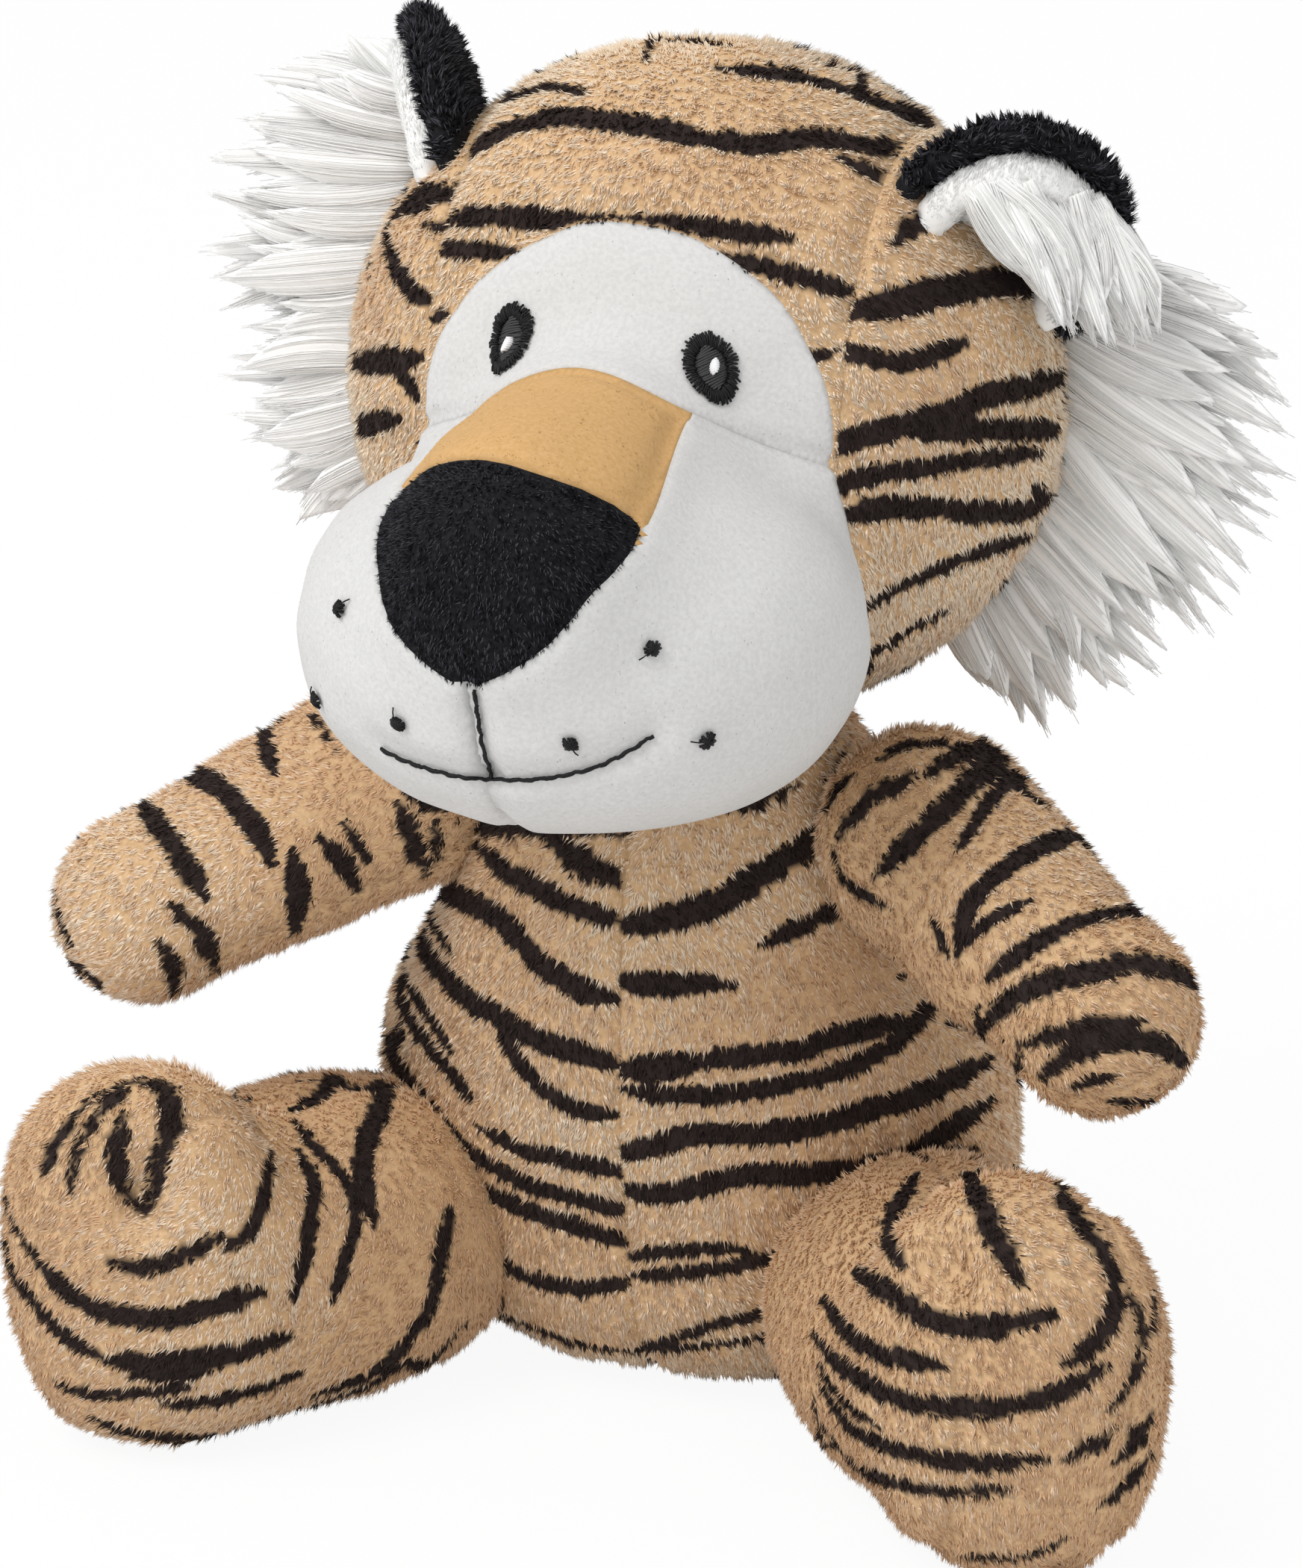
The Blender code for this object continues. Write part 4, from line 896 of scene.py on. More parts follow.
FABRICS = {}
for name, knit in KNITS.items():
    FABRICS[name] = fabric_material(f"{name}_fabric", knit, SHADES["stripe"][0] if name == "tan" else None)
FILLING_FABRIC = fabric_material("filling_fibre", FILLING_KNIT, grain=FILLING_GRAIN)
PILES = {name: shade_materials(f"{name}_pile", shades, PILE_ROUGHNESS) for name, shades in SHADES.items()}
PILES["tan"] += PILES.pop("stripe")
STRIPE_SLOTS = (len(SHADES["tan"]), len(PILES["tan"]))
HAIR = shade_materials("mane_hair", HAIR_SHADES, HAIR_ROUGHNESS)
THREADS = {
    name: fibre_material(f"{name}_thread", shade, THREAD_ROUGHNESS) for name, shade in THREAD_SHADES.items()
}

# Each kind of pile: fibres for each square metre, length, half width, how far it leans over,
# tuft size, and how far a tuft draws together
Kind = namedtuple("Kind", "density length half lean tuft pull")
KINDS = {
    "tan": Kind(5.2e6, 0.0020, 0.00019, 0.60, 0.0013, 0.60),
    "white": Kind(6.6e6, 0.0012, 0.00019, 0.79, 0.0012, 0.05),
    "bridge": Kind(6.5e6, 0.0012, 0.00017, 0.74, 0.0011, 0.22),
    "black": Kind(6.5e6, 0.0020, 0.00016, 0.42, 0.0011, 0.60),
    "curly": Kind(8.0e6, 0.0022, 0.00019, 0.50, 0.0014, 0.80),
    "lining": Kind(7.0e6, 0.0017, 0.00017, 0.70, 0.0010, 0.14),
}
PANEL_KIND = {
    "face_panel": "white",
    "muzzle_left": "white",
    "muzzle_right": "white",
    "nose_bridge": "bridge",
    "nose": "black",
}


TUFT_TILT, TUFT_TURN, TUFT_WARP = 0.09, 0.22, 0.35
FIBRE_TILT, FIBRE_TURN, MOST_TILT = 0.04, 0.09, 0.95
FIBRE_LENGTHS, FIBRE_WIDTHS = (0.75, 1.15), (0.8, 1.25)
ROOT_DEPTH = 0.0003
COMB_SIZE = 0.018
CELLS = 8192


def combed(points, normals, flow, seed, wander=0.5):
    """The way the pile lies: a flow along the surface, turned a little from place to place."""
    flow = np.broadcast_to(np.asarray(flow, float), points.shape)
    flat = unit(flow - normals * np.sum(flow * normals, axis=1, keepdims=True))
    turn = wander * waves(points, COMB_SIZE, seed)
    side = np.cross(normals, flat)
    return flat * np.cos(turn)[:, None] + side * np.sin(turn)[:, None]


def tufts(roots, size):
    """The tuft that each root belongs to, and each tuft's middle."""
    warp = np.stack([waves(roots, size * 2.0, seed) for seed in (41, 42, 43)], 1)
    cells = np.floor((roots + TUFT_WARP * size * warp) / size).astype(np.int64) + CELLS // 2
    keys = (cells[:, 0] * CELLS + cells[:, 1]) * CELLS + cells[:, 2]
    _, tuft, count = np.unique(keys, return_inverse=True, return_counts=True)
    middles = np.stack([np.bincount(tuft, roots[:, axis]) for axis in range(3)], 1) / count[:, None]
    return tuft, middles


def fibres(kind, roots, normals, lie, lengths, random):
    """A closed three-sided spike from each root, drawn together in tufts: points and triangles."""
    tuft, middles = tufts(roots, kind.tuft)
    turn = random.normal(0.0, 1.0, (len(middles), 4))[tuft]
    turn = turn * 2.0 * kind.pull
    tilt = kind.lean + TUFT_TILT * turn[:, 3] + random.normal(0.0, FIBRE_TILT, len(roots))
    tilt = np.clip(tilt, 0.0, MOST_TILT)
    loose = unit(lie + TUFT_TURN * turn[:, :3] + random.normal(0.0, FIBRE_TURN, roots.shape))
    way = unit(normals * (1.0 - tilt)[:, None] + loose * tilt[:, None])
    wide = unit(np.cross(way, normals + 1e-6))
    deep = np.cross(wide, way)
    start = roots - normals * ROOT_DEPTH
    tips = start + way * lengths[:, None] + (middles[tuft] - roots) * kind.pull
    widths = kind.half * random.uniform(*FIBRE_WIDTHS, len(roots))[:, None]
    corners = [start + wide * widths, start - wide * widths, start + deep * widths * 0.8, tips]
    points = np.stack(corners, 1).reshape(-1, 3)
    faces = np.array(((0, 2, 3), (2, 1, 3), (1, 0, 3), (0, 1, 2)))
    rows = np.arange(len(roots))[:, None, None] * 4 + faces
    return points, rows.reshape(-1, 3)


def scattered(points, faces, normals, density, random):
    """Roots spread evenly over a skin, and the normal at each."""
    corners = points[faces]
    sides = np.cross(corners[:, 1] - corners[:, 0], corners[:, 2] - corners[:, 0])
    areas = np.linalg.norm(sides, axis=1) / 2
    total = areas.sum()
    picks = np.searchsorted(np.cumsum(areas), random.uniform(0.0, total, int(total * density)))
    picks = np.minimum(picks, len(faces) - 1)
    first = np.sqrt(random.uniform(0.0, 1.0, len(picks)))
    second = random.uniform(0.0, 1.0, len(picks))
    weights = np.stack([1.0 - first, first * (1.0 - second), first * second], 1)
    chosen = faces[picks]
    roots = np.sum(points[chosen] * weights[:, :, None], axis=1)
    return roots, unit(np.sum(normals[chosen] * weights[:, :, None], axis=1))


def add_pile(name, body, kind, skin, shade, materials, random, trim=1.0):
    """The fibres of one panel, on a skin of roots, normals and lie, as a piece that rides with its fabric."""
    kind = KINDS[kind]
    lengths = kind.length * random.uniform(*FIBRE_LENGTHS, len(skin[0])) * trim
    points, faces = fibres(kind, *skin, lengths, random)
    points[:, 2] = np.maximum(points[:, 2], LOWEST_FIBRE)
    piece = new_mesh(name, points, faces, materials, np.repeat(shade, 4))
    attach(piece, body)


BARE_SPOTS = []
HIDDEN_DEPTH = 0.0012


def hidden_inside(points, own):
    """True where a point lies inside another form."""
    inside = np.zeros(len(points), bool)
    for form in FORMS.values():
        if form is not own:
            inside |= outside(points, form.form, form.blend) < -HIDDEN_DEPTH
    return inside


def near_spots(points):
    """How far points are from the nearest stitching, in shares of the reach within which it flattens pile."""
    full = np.ones(len(points))
    for centre, radius in BARE_SPOTS:
        full = np.minimum(full, np.linalg.norm(points - centre, axis=1) / radius)
    return full


# Embroidery on the head, sewn through the pile
HEAD = FORMS["head"]
EYE_SPOTS = {"right": (343, 228), "left": (476, 247)}
EYE_HALF = (0.0042, 0.0057)
EYE_LEAN = {"right": math.radians(-14.0), "left": math.radians(-12.0)}
HIGHLIGHT_SHIFT = {"right": (0.0002, -0.0012), "left": (0.0004, -0.0002)}
HIGHLIGHT_HALF = 0.0009
HIGHLIGHT_RISE, HIGHLIGHT_SLOPE = 0.0017, 0.0003
THREAD = 0.00021
RING_THREADS, RING_RISE = 66, 0.0010
FILL_REACH, FILL_PITCH, FILL_RISE, FILL_SLOPE = 0.62, 0.07, 0.0009, 0.0006
DOT_SPOTS = {
    "whisker_dot_right_1": (268, 484),
    "whisker_dot_right_2": (229, 408),
    "whisker_dot_right_3": (214, 468),
    "whisker_dot_left_1": (382, 497),
    "whisker_dot_left_2": (436, 434),
    "whisker_dot_left_3": (473, 495),
}
DOT_THREADS, DOT_REACH, DOT_RISE, DOT_THREAD = 7, 0.00125, 0.0013, 0.00025
DOT_TAIL, DOT_TAIL_RISE, DOT_TAIL_THREAD = 0.0026, 0.0009, 0.00012
MOUTH_SPOTS = (
    (256, 500), (272, 508), (290, 514), (310, 519), (331, 521),
    (352, 521), (372, 519), (395, 514), (414, 506), (437, 492),
)
LIP_SPOTS = ((319, 461), (321, 476), (323, 490), (326, 505), (331, 520))
LINE_STITCH = 0.0029
LINE_RISE, LINE_ARCH = 0.0004, 0.0003
LINE_THREAD, LINE_SWELL, LINE_WANDER = 0.00028, 0.00008, 0.00004
LINE_BARE, DOT_BARE = 0.0010, 0.0016
PROBE_HEIGHT = 0.008


class Patch:
    """A small place on the head's skin with its own across and up."""

    def __init__(self, spot, lean=0.0):
        self.centre = HEAD.cast(spot)
        self.normal = np.array(HEAD.tree.find_nearest(Vector(self.centre))[1])
        up = unit(np.array((0.0, 0.0, 1.0)) - self.normal * self.normal[2])
        across = np.cross(up, self.normal)
        self.up = up * math.cos(lean) + across * math.sin(lean)
        self.across = np.cross(self.up, self.normal)

    def place(self, across, up, height):
        spot = self.centre + self.across * across + self.up * up
        start = spot + self.normal * PROBE_HEIGHT
        hit = HEAD.tree.ray_cast(Vector(start), Vector(-self.normal))[0]
        return np.array(spot if hit is None else hit) + self.normal * height

    def stitch(self, start, end, rise, thread=THREAD):
        """One thread over the pile from one hole to another, arched between them."""
        path = []
        for share in np.linspace(0.0, 1.0, 5):
            across = start[0] + (end[0] - start[0]) * share
            up = start[1] + (end[1] - start[1]) * share
            path.append(self.place(across, up, rise * (0.35 + 0.65 * math.sin(math.pi * share))))
        return tube(path, np.full(5, thread), 5)


def add_threads(name, node, threads, colour="black"):
    add_piece(name, "head", node, *joined(threads), [THREADS[colour]])


def satin_eye(word, random):
    """A filled oval of level threads inside a ring of radial ones, and a small white one over it."""
    patch = Patch(EYE_SPOTS[word], EYE_LEAN[word])
    ring = []
    for index in range(RING_THREADS):
        turn = 2.0 * math.pi * (index + random.uniform(-0.25, 0.25)) / RING_THREADS
        shares = (0.56 + random.uniform(-0.05, 0.05), 1.0 + random.uniform(-0.07, 0.07))
        ends = []
        for share in shares:
            ends.append((share * EYE_HALF[0] * math.cos(turn), share * EYE_HALF[1] * math.sin(turn)))
        ring.append(patch.stitch(*ends, RING_RISE))
    fill = []
    for row in np.arange(-0.6, 0.6, FILL_PITCH):
        reach = FILL_REACH * math.sqrt(max(0.0, 1.0 - (row / FILL_REACH) ** 2)) * EYE_HALF[0]
        up = row * EYE_HALF[1]
        slope = FILL_SLOPE * random.uniform(0.4, 1.0)
        fill.append(patch.stitch((-reach, up - slope), (reach, up + slope), FILL_RISE))
    slots = np.repeat((0, 1), [sum(len(faces) for _, faces in part) for part in (ring, fill)])
    materials = [THREADS["black"], THREADS["grey"]]
    add_piece(f"eye_{word}_satin", "head", f"eye_{word}", *joined(ring + fill), materials, slots)
    shift = np.array(HIGHLIGHT_SHIFT[word])
    light = []
    for row in np.linspace(-0.9, 0.9, 7):
        reach = HIGHLIGHT_HALF * math.sqrt(1.0 - row * row * 0.9)
        up = row * HIGHLIGHT_HALF * 1.15
        start = shift + (up * 0.3 - reach, up)
        end = shift + (up * 0.3 + reach, up + HIGHLIGHT_SLOPE)
        light.append(patch.stitch(start, end, HIGHLIGHT_RISE, THREAD * 1.1))
    add_threads(f"eye_highlight_{word}_satin", f"eye_highlight_{word}", light, "white")
    for share in np.linspace(-0.6, 0.6, 5):
        BARE_SPOTS.append((patch.place(0.0, share * EYE_HALF[1], 0.0), EYE_HALF[0] * 1.05))


def sewn_line(name, node, spots, random):
    """A line of thread that dips into the pile at each stitch."""
    places = np.array([HEAD.cast(spot) for spot in smooth_path(spots, 12)])
    normals = np.array([HEAD.tree.find_nearest(Vector(place))[1] for place in places])
    run = np.concatenate([[0.0], np.cumsum(np.linalg.norm(np.diff(places, axis=0), axis=1))])
    arch = np.abs(np.sin(math.pi * run / LINE_STITCH))
    line = places + normals * (LINE_RISE + LINE_ARCH * arch)[:, None]
    line += random.normal(0.0, LINE_WANDER, line.shape)
    add_threads(name, node, [tube(line, LINE_THREAD + LINE_SWELL * arch, 6)])
    BARE_SPOTS.extend((place, LINE_BARE) for place in places[::2])


def whisker_knot(name, spot, random):
    """A few crossing threads pulled tight, one loose end, and the pile drawn in round them."""
    patch = Patch(spot)
    parts = []
    for index in range(DOT_THREADS):
        turn = math.pi * index / DOT_THREADS + random.uniform(-0.2, 0.2)
        reach = DOT_REACH * random.uniform(0.8, 1.15)
        away = (reach * math.cos(turn), reach * math.sin(turn))
        parts.append(patch.stitch((-away[0], -away[1]), away, DOT_RISE, DOT_THREAD))
    turn = random.uniform(0.0, 6.0)
    away = (DOT_TAIL * math.cos(turn), DOT_TAIL * math.sin(turn))
    parts.append(patch.stitch((0.0, 0.0), away, DOT_TAIL_RISE, DOT_TAIL_THREAD))
    add_threads(f"{name}_knot", name, parts)
    BARE_SPOTS.append((patch.centre, DOT_BARE))


random = np.random.default_rng(7)
for word in ("left", "right"):
    satin_eye(word, random)
sewn_line("mouth_thread", "mouth_stitch", MOUTH_SPOTS, random)
sewn_line("lip_thread", "lip_stitch", LIP_SPOTS, random)
for name, spot in DOT_SPOTS.items():
    whisker_knot(name, spot, random)

# Fabric panels with their pile, over a soft filling
FABRIC_THICKNESS = 0.0010
STUFFING_SLACK = 0.0012
SEAM_TRIM, SEAM_TRIM_WIDTH = {"tan": 0.6, "white": 0.85, "bridge": 0.6, "black": 1.0}, 0.0017
PIECE_FIBRES = 48000
# Round the stitching: no pile, then pile that grows from its least length
BARE_SHARE, SHORT_SHARE, SHORT_LEAST = 0.8, 1.6, 0.3
# How far each form's pile is moved towards the most orange tan: partly the toy's own tone and partly painted
# shade, so the body and limbs come out darker than the lit head
TAN_DEPTH_AND_SHADE = {"head": -0.10, "body": 0.55}
LIMB_TAN_DEPTH_AND_SHADE = 1.1
TAN_PATCH, TAN_PATCH_SIZE, TAN_TUFT, TAN_FIBRE = 0.75, 0.030, 0.25, 0.30
TAN_STEPS = (0.15, 0.85)
SEAT_HEIGHT = 0.002


def tan_shade(points, name, random):
    """Which tan a fibre has: lighter and darker tufts within paler and more orange patches, and each form
    moved towards the darker tans, partly painted shade.
    """
    tuft, middles = tufts(points, KINDS["tan"].tuft)
    patch = TAN_PATCH * waves(points, TAN_PATCH_SIZE, 51) + random.normal(0.0, TAN_TUFT, len(middles))[tuft]
    value = patch + random.normal(0.0, TAN_FIBRE, len(points)) + TAN_DEPTH_AND_SHADE.get(name, LIMB_TAN_DEPTH_AND_SHADE)
    return np.where(value < TAN_STEPS[0], 0, np.where(value < TAN_STEPS[1], 1, 2))


def add_fabrics(form, names):
    """Each panel of a form as a closed sheet of fabric with its print."""
    _, which, _ = form.panels(form.points[form.faces].mean(axis=1))
    _, at_points, _ = form.panels(form.points)
    dark = np.zeros(len(form.points))
    for index, name in enumerate(names):
        mine = at_points == index
        if name not in PANEL_KIND and mine.any():
            dark[mine] = printed(form.name, name, form.points[mine], form.normals[mine])
    for index, name in enumerate(names):
        fabric = [FABRICS[PANEL_KIND.get(name, "tan")]]
        points, faces, used = shell(form.points, form.normals, form.faces[which == index], FABRIC_THICKNESS)
        add_piece(f"{name}_fabric", form.body, name, points, faces, fabric, colours=np.tile(dark[used], 2))


def add_piles(form, names):
    """The pile on each panel of a form, in pieces of a bounded size."""
    random = np.random.default_rng(sum(map(ord, form.name)))
    kinds = [PANEL_KIND.get(name, "tan") for name in names]
    density = max(KINDS[kind].density for kind in kinds)
    roots, normals = scattered(form.points, form.faces, form.normals, density, random)
    _, which, seam = form.panels(roots)
    keep = ~hidden_inside(roots, form) & ~((roots[:, 2] < SEAT_HEIGHT) & (normals[:, 2] < -0.5))
    spare = random.uniform(0.0, 1.0, len(roots))
    lie = combed(roots, normals, FLOWS[form.name], 21)
    for index, (name, kind) in enumerate(zip(names, kinds)):
        mine = keep & (which == index) & (spare < KINDS[kind].density / density)
        if name == "base_panel" or not mine.any():
            continue
        if kind != "tan":
            mine[mine] = near_spots(roots[mine]) > BARE_SHARE
        some, some_normals, some_lie = roots[mine], normals[mine], lie[mine]
        low = SEAM_TRIM[kind]
        trim = low + (1.0 - low) * smooth(seam[mine] / SEAM_TRIM_WIDTH)
        if kind == "tan":
            reach = KINDS[kind].length * KINDS[kind].lean * 0.55
            is_dark = printed(form.name, name, some + some_lie * reach, some_normals)
            stripe = random.integers(*STRIPE_SLOTS, len(some))
            shade = np.where(is_dark, stripe, tan_shade(some, form.name, random))
        else:
            trim = trim * np.clip(near_spots(some) / SHORT_SHARE, SHORT_LEAST, 1.0)
            shade = random.integers(0, len(PILES[kind]), len(some))
        order = np.argsort(some[:, 2], kind="stable")
        parts = np.array_split(order, math.ceil(len(order) / PIECE_FIBRES))
        for number, rows in enumerate(parts, 1):
            title = f"{name}_pile" if len(parts) == 1 else f"{name}_pile_{number}"
            skin = (some[rows], some_normals[rows], some_lie[rows])
            add_pile(title, form.body, kind, skin, shade[rows], PILES[kind], random, trim[rows])


def add_stuffing(name, body, points, faces):
    piece = add_piece(f"{name}_stuffing", body, f"{name}_filling", points, faces, [FILLING_FABRIC])


def stuff(form):
    """The filling: the form drawn in under its fabric, as a padded piece."""
    directions, faces = sphere(5)
    points = np.array([form.tree.ray_cast(Vector(form.heart), Vector(way))[0] for way in directions])
    points = points - point_normals(points, faces) * (FABRIC_THICKNESS + STUFFING_SLACK)
    add_stuffing(form.name, form.body, points, faces)


for form in FORMS.values():
    panel_names = form.panels(form.points[:1])[0]
    add_fabrics(form, panel_names)
    add_piles(form, panel_names)
    stuff(form)

# Ears: a black cup with a white lining
EAR_AXES = {
    "left": ((0.85, 0.45, -0.25), (0.25, -0.3, 0.9)),
    "right": ((0.43, -0.90, -0.04), (-0.175, 0.0, 0.985)),
}
EAR_PLACE = {"left": (0.42, -0.03, 0.69), "right": (-0.38, 0.02, 0.745)}
# Each layer's outer and inner half sizes across, in depth and up, and how far it is moved to the open side
EAR_LAYERS = {
    "back": ((0.0200, 0.0075, 0.0230), (0.0158, 0.0052, 0.0188), 0.0),
    "lining": ((0.0158, 0.0049, 0.0190), (0.0094, 0.0026, 0.0122), 0.0024),
}
# The lining's colour is the lightened white: painted light inside the ears
EAR_LOOK = {"back": ("black", "curly"), "lining": ("lining", "lining")}
EAR_RINGS, EAR_SIDES, EAR_ROLLS = 20, 64, 8
EAR_WRINKLE, EAR_GAP = 0.0003, -0.0006
LEAST_EAR_HEIGHT = 0.0004


def ear_frame(word):
    wide = unit(EAR_AXES[word][0])
    up = np.array(EAR_AXES[word][1])
    up = unit(up - wide * (up @ wide))
    return wide, np.cross(wide, up), up


def ear_profile(outer, inner):
    """From the back over the rolled rim to the inside: reach across, reach up, lift to the open side."""

    def dome(half, shares):
        turns = shares * math.pi / 2.0
        return [
            (half[0] * math.sin(turn), half[2] * math.sin(turn), -half[1] * math.cos(turn)) for turn in turns
        ]

    thick = (outer[0] - inner[0]) / 2.0
    rim = [(outer[axis] + inner[axis]) / 2.0 for axis in (0, 2)]
    roll = []
    for share in np.linspace(0.0, 1.0, EAR_ROLLS + 1)[1:-1]:
        swell = thick * math.cos(math.pi * share)
        roll.append((rim[0] + swell, rim[1] + swell, thick * math.sin(math.pi * share)))
    out = dome(outer, np.linspace(0.0, 1.0, EAR_RINGS + 1)[1:])
    return out + roll + dome(inner, np.linspace(1.0, 0.0, EAR_RINGS + 1)[:-1])


def ear_cup(word, outer, inner, shift):
    """A closed cup with a thick rolled rim, drawn under the head's skin where the head hides it."""
    wide, open_side, up = ear_frame(word)
    centre = TOP + HEAD_SIZE * EAR_PLACE[word] + open_side * shift
    profile = ear_profile(outer, inner)
    points = [centre - open_side * outer[1]]
    for reach_wide, reach_up, lift in profile:
        for turn in np.arange(EAR_SIDES) * 2.0 * math.pi / EAR_SIDES:
            flat = wide * reach_wide * math.cos(turn) + up * reach_up * math.sin(turn)
            points.append(centre + flat + open_side * lift)
    points.append(centre - open_side * inner[1])
    faces = []
    for index in range(EAR_SIDES):
        after = (index + 1) % EAR_SIDES
        faces.append((0, 1 + after, 1 + index))
        for low in range(1, 1 + (len(profile) - 1) * EAR_SIDES, EAR_SIDES):
            high = low + EAR_SIDES
            faces.append((low + index, low + after, high + after))
            faces.append((low + index, high + after, high + index))
        low = 1 + (len(profile) - 1) * EAR_SIDES
        faces.append((low + index, low + after, len(points) - 1))
    points, faces = np.array(points), np.array(faces)
    points += point_normals(points, faces) * (EAR_WRINKLE * waves(points, WRINKLE_SIZE, 61))[:, None]
    for index in np.flatnonzero(outside(points, HEAD.form, HEAD.blend) < 0.0):
        place, normal = HEAD.tree.find_nearest(Vector(points[index]))[:2]
        points[index] = place + normal * EAR_GAP
    return points, outward(points, faces)


def outward(points, faces):
    """Faces turned so that a closed mesh's volume is positive."""
    corners = points[faces]
    volume = np.sum(np.cross(corners[:, 0], corners[:, 1]) * corners[:, 2])
    return faces if volume > 0.0 else faces[:, ::-1]


def ear(word, random):
    wide, open_side, up = ear_frame(word)
    for part, layer in EAR_LAYERS.items():
        colour, kind = EAR_LOOK[part]
        node = f"ear_{word}_{part}"
        points, faces = ear_cup(word, *layer)
        add_piece(f"{node}_fabric", "head", node, points, faces, [FABRICS[colour]])
        skin = (points, faces, point_normals(points, faces))
        roots, normals = scattered(*skin, KINDS[kind].density, random)
        facing = normals @ open_side
        keep = facing > -0.35
        if part == "back":
            offset = roots - TOP - HEAD_SIZE * EAR_PLACE[word]
            lined = EAR_LAYERS["lining"][0]
            keep = (facing < 0.35) | (np.hypot(offset @ wide / lined[0], offset @ up / lined[2]) > 1.0)
        keep &= outside(roots, HEAD.form, HEAD.blend) > LEAST_EAR_HEIGHT
        roots, normals = roots[keep], normals[keep]
        lie = combed(roots, normals, up, 5, 2.6 if kind == "curly" else 0.6)
        shade = random.integers(0, len(PILES[colour]), len(roots))
        add_pile(f"{node}_pile", "head", kind, (roots, normals, lie), shade, PILES[colour], random)


random = np.random.default_rng(31)
for word in ("left", "right"):
    ear(word, random)

# Tail: a soft tube down the back, with its own filling
TAIL_LENGTH = 0.052
TAIL_DIAMETER = 0.0145
TAIL_ROUTE = (
    (0.0, 0.0, 0.0),
    (0.0, 0.25, -0.10),
    (-0.07, 0.50, -0.13),
    (-0.22, 0.72, -0.13),
    (-0.42, 0.88, -0.13),
    (-0.47, 0.91, -0.13),
)
TAIL_RADII = (1.0, 1.0, 0.97, 0.95, 0.75, 0.3)
TAIL_STEPS, TAIL_SIDES = 12, 48
TAIL_WRINKLE, TAIL_SLACK, TAIL_OVERLAP = 0.010, 0.0004, 0.001
TAIL_CORE_SHARE = 0.98


def tail(random):
    path = smooth_path(JOINT_PLACE["tail_wag"] + np.array(TAIL_ROUTE) * TAIL_LENGTH, TAIL_STEPS)
    along = np.arange(len(path)) / TAIL_STEPS
    radii = np.interp(along, np.arange(len(TAIL_RADII)), TAIL_RADII) * TAIL_DIAMETER / 2.0
    points, faces = tube(path, radii - BACKING_DEPTH, TAIL_SIDES)
    faces = outward(points, faces)
    wrinkle = WRINKLE_HEIGHT * waves(points, TAIL_WRINKLE, 4)
    points = points + point_normals(points, faces) * wrinkle[:, None]
    normals = point_normals(points, faces)
    sheet = np.concatenate([points, points - normals * FABRIC_THICKNESS])
    both = np.concatenate([faces, faces[:, ::-1] + len(points)])
    colours = np.tile(rule_stripes(points, "tail").astype(float), 2)
    add_piece("tail_fabric", "tail", "tail_panel", sheet, both, [FABRICS["tan"]], colours=colours)
    inside = radii - BACKING_DEPTH - FABRIC_THICKNESS - TAIL_SLACK
    core, core_faces = tube(path, inside * TAIL_CORE_SHARE, TAIL_SIDES // 2)
    add_stuffing("tail", "tail", core, outward(core, core_faces))
    roots, normals = scattered(points, faces, normals, KINDS["tan"].density, random)
    keep = outside(roots, BODY_FORM, BODY_BLEND) > -TAIL_OVERLAP
    roots, normals = roots[keep], normals[keep]
    lie = combed(roots, normals, unit(path[-1] - path[0]), 8)
    stripe = random.integers(*STRIPE_SLOTS, len(roots))
    shade = np.where(rule_stripes(roots, "tail"), stripe, random.integers(0, STRIPE_SLOTS[0], len(roots)))
    add_pile("tail_pile", "tail", "tan", (roots, normals, lie), shade, PILES["tan"], random)


tail(np.random.default_rng(77))

# Mane: locks of long hair at each side of the head. Roots and tips are runs of photo points, from the top
# lock to the bottom one, on an upright plane through the head
MANE_DEPTH = {"right": 0.010, "left": 0.014}
MANE_ROOTS = {
    "right": ((276, 62), (286, 92), (284, 130), (278, 170), (266, 210), (258, 245), (254, 280), (262, 305)),
    "left": ((690, 176), (700, 200), (704, 225), (702, 260), (694, 300), (680, 335), (660, 368), (632, 392)),
}
MANE_TIPS = {
    "right": (
        (234, 20), (205, 42), (173, 49), (160, 81), (136, 105), (139, 125), (158, 143), (131, 166),
        (137, 190), (150, 207), (160, 222), (150, 239), (144, 254), (155, 276), (162, 293), (180, 318),
        (182, 328), (201, 353),
    ),
    "left": (
        (800, 190), (843, 211), (851, 229), (859, 244), (865, 275), (868, 292), (868, 322), (861, 338),
        (855, 349), (850, 360), (843, 386), (833, 400), (825, 413), (813, 424), (802, 427), (788, 438),
        (779, 456), (762, 464), (745, 464), (724, 480), (704, 494), (685, 489), (676, 466),
    ),
}
EAR_FLUFF = (
    ((643, 130), (668, 122), (700, 124), (728, 136), (742, 160)),
    ((704, 212), (716, 234), (738, 240), (765, 242), (778, 226)),
)
FLUFF_DEPTH = (-0.019, -0.004)
FLUFF_START_SPREAD, FLUFF_END_SPREAD = 0.005, 0.006
MANE_FILL = 52
FLUFF_LOCKS = 40
MANE_STRANDS = 60
MANE_STEPS = 6
MANE_HALF_WIDTH = 0.00014
MANE_HALF_DEPTH = 0.0045
LOCK_HALF = (0.0022, 0.0046)
LOCK_THICKNESS = 0.0007
LOCK_CUP = 0.0012
LOCK_SPREAD = 0.0004
LOCK_ROWS, LOCK_COLUMNS = 13, 7


def on_plane(spots, depth):
    places = []
    for spot, at in zip(spots, np.broadcast_to(depth, len(spots))):
        direction = photo_direction(spot)
        places.append(CAMERA_PLACE + direction * (at - CAMERA_PLACE[1]) / direction[1])
    return np.array(places)


def along_run(run, share):
    place = np.asarray(share) * (len(run) - 1)
    return np.stack([np.interp(place, np.arange(len(run)), run[:, axis]) for axis in range(3)], -1)


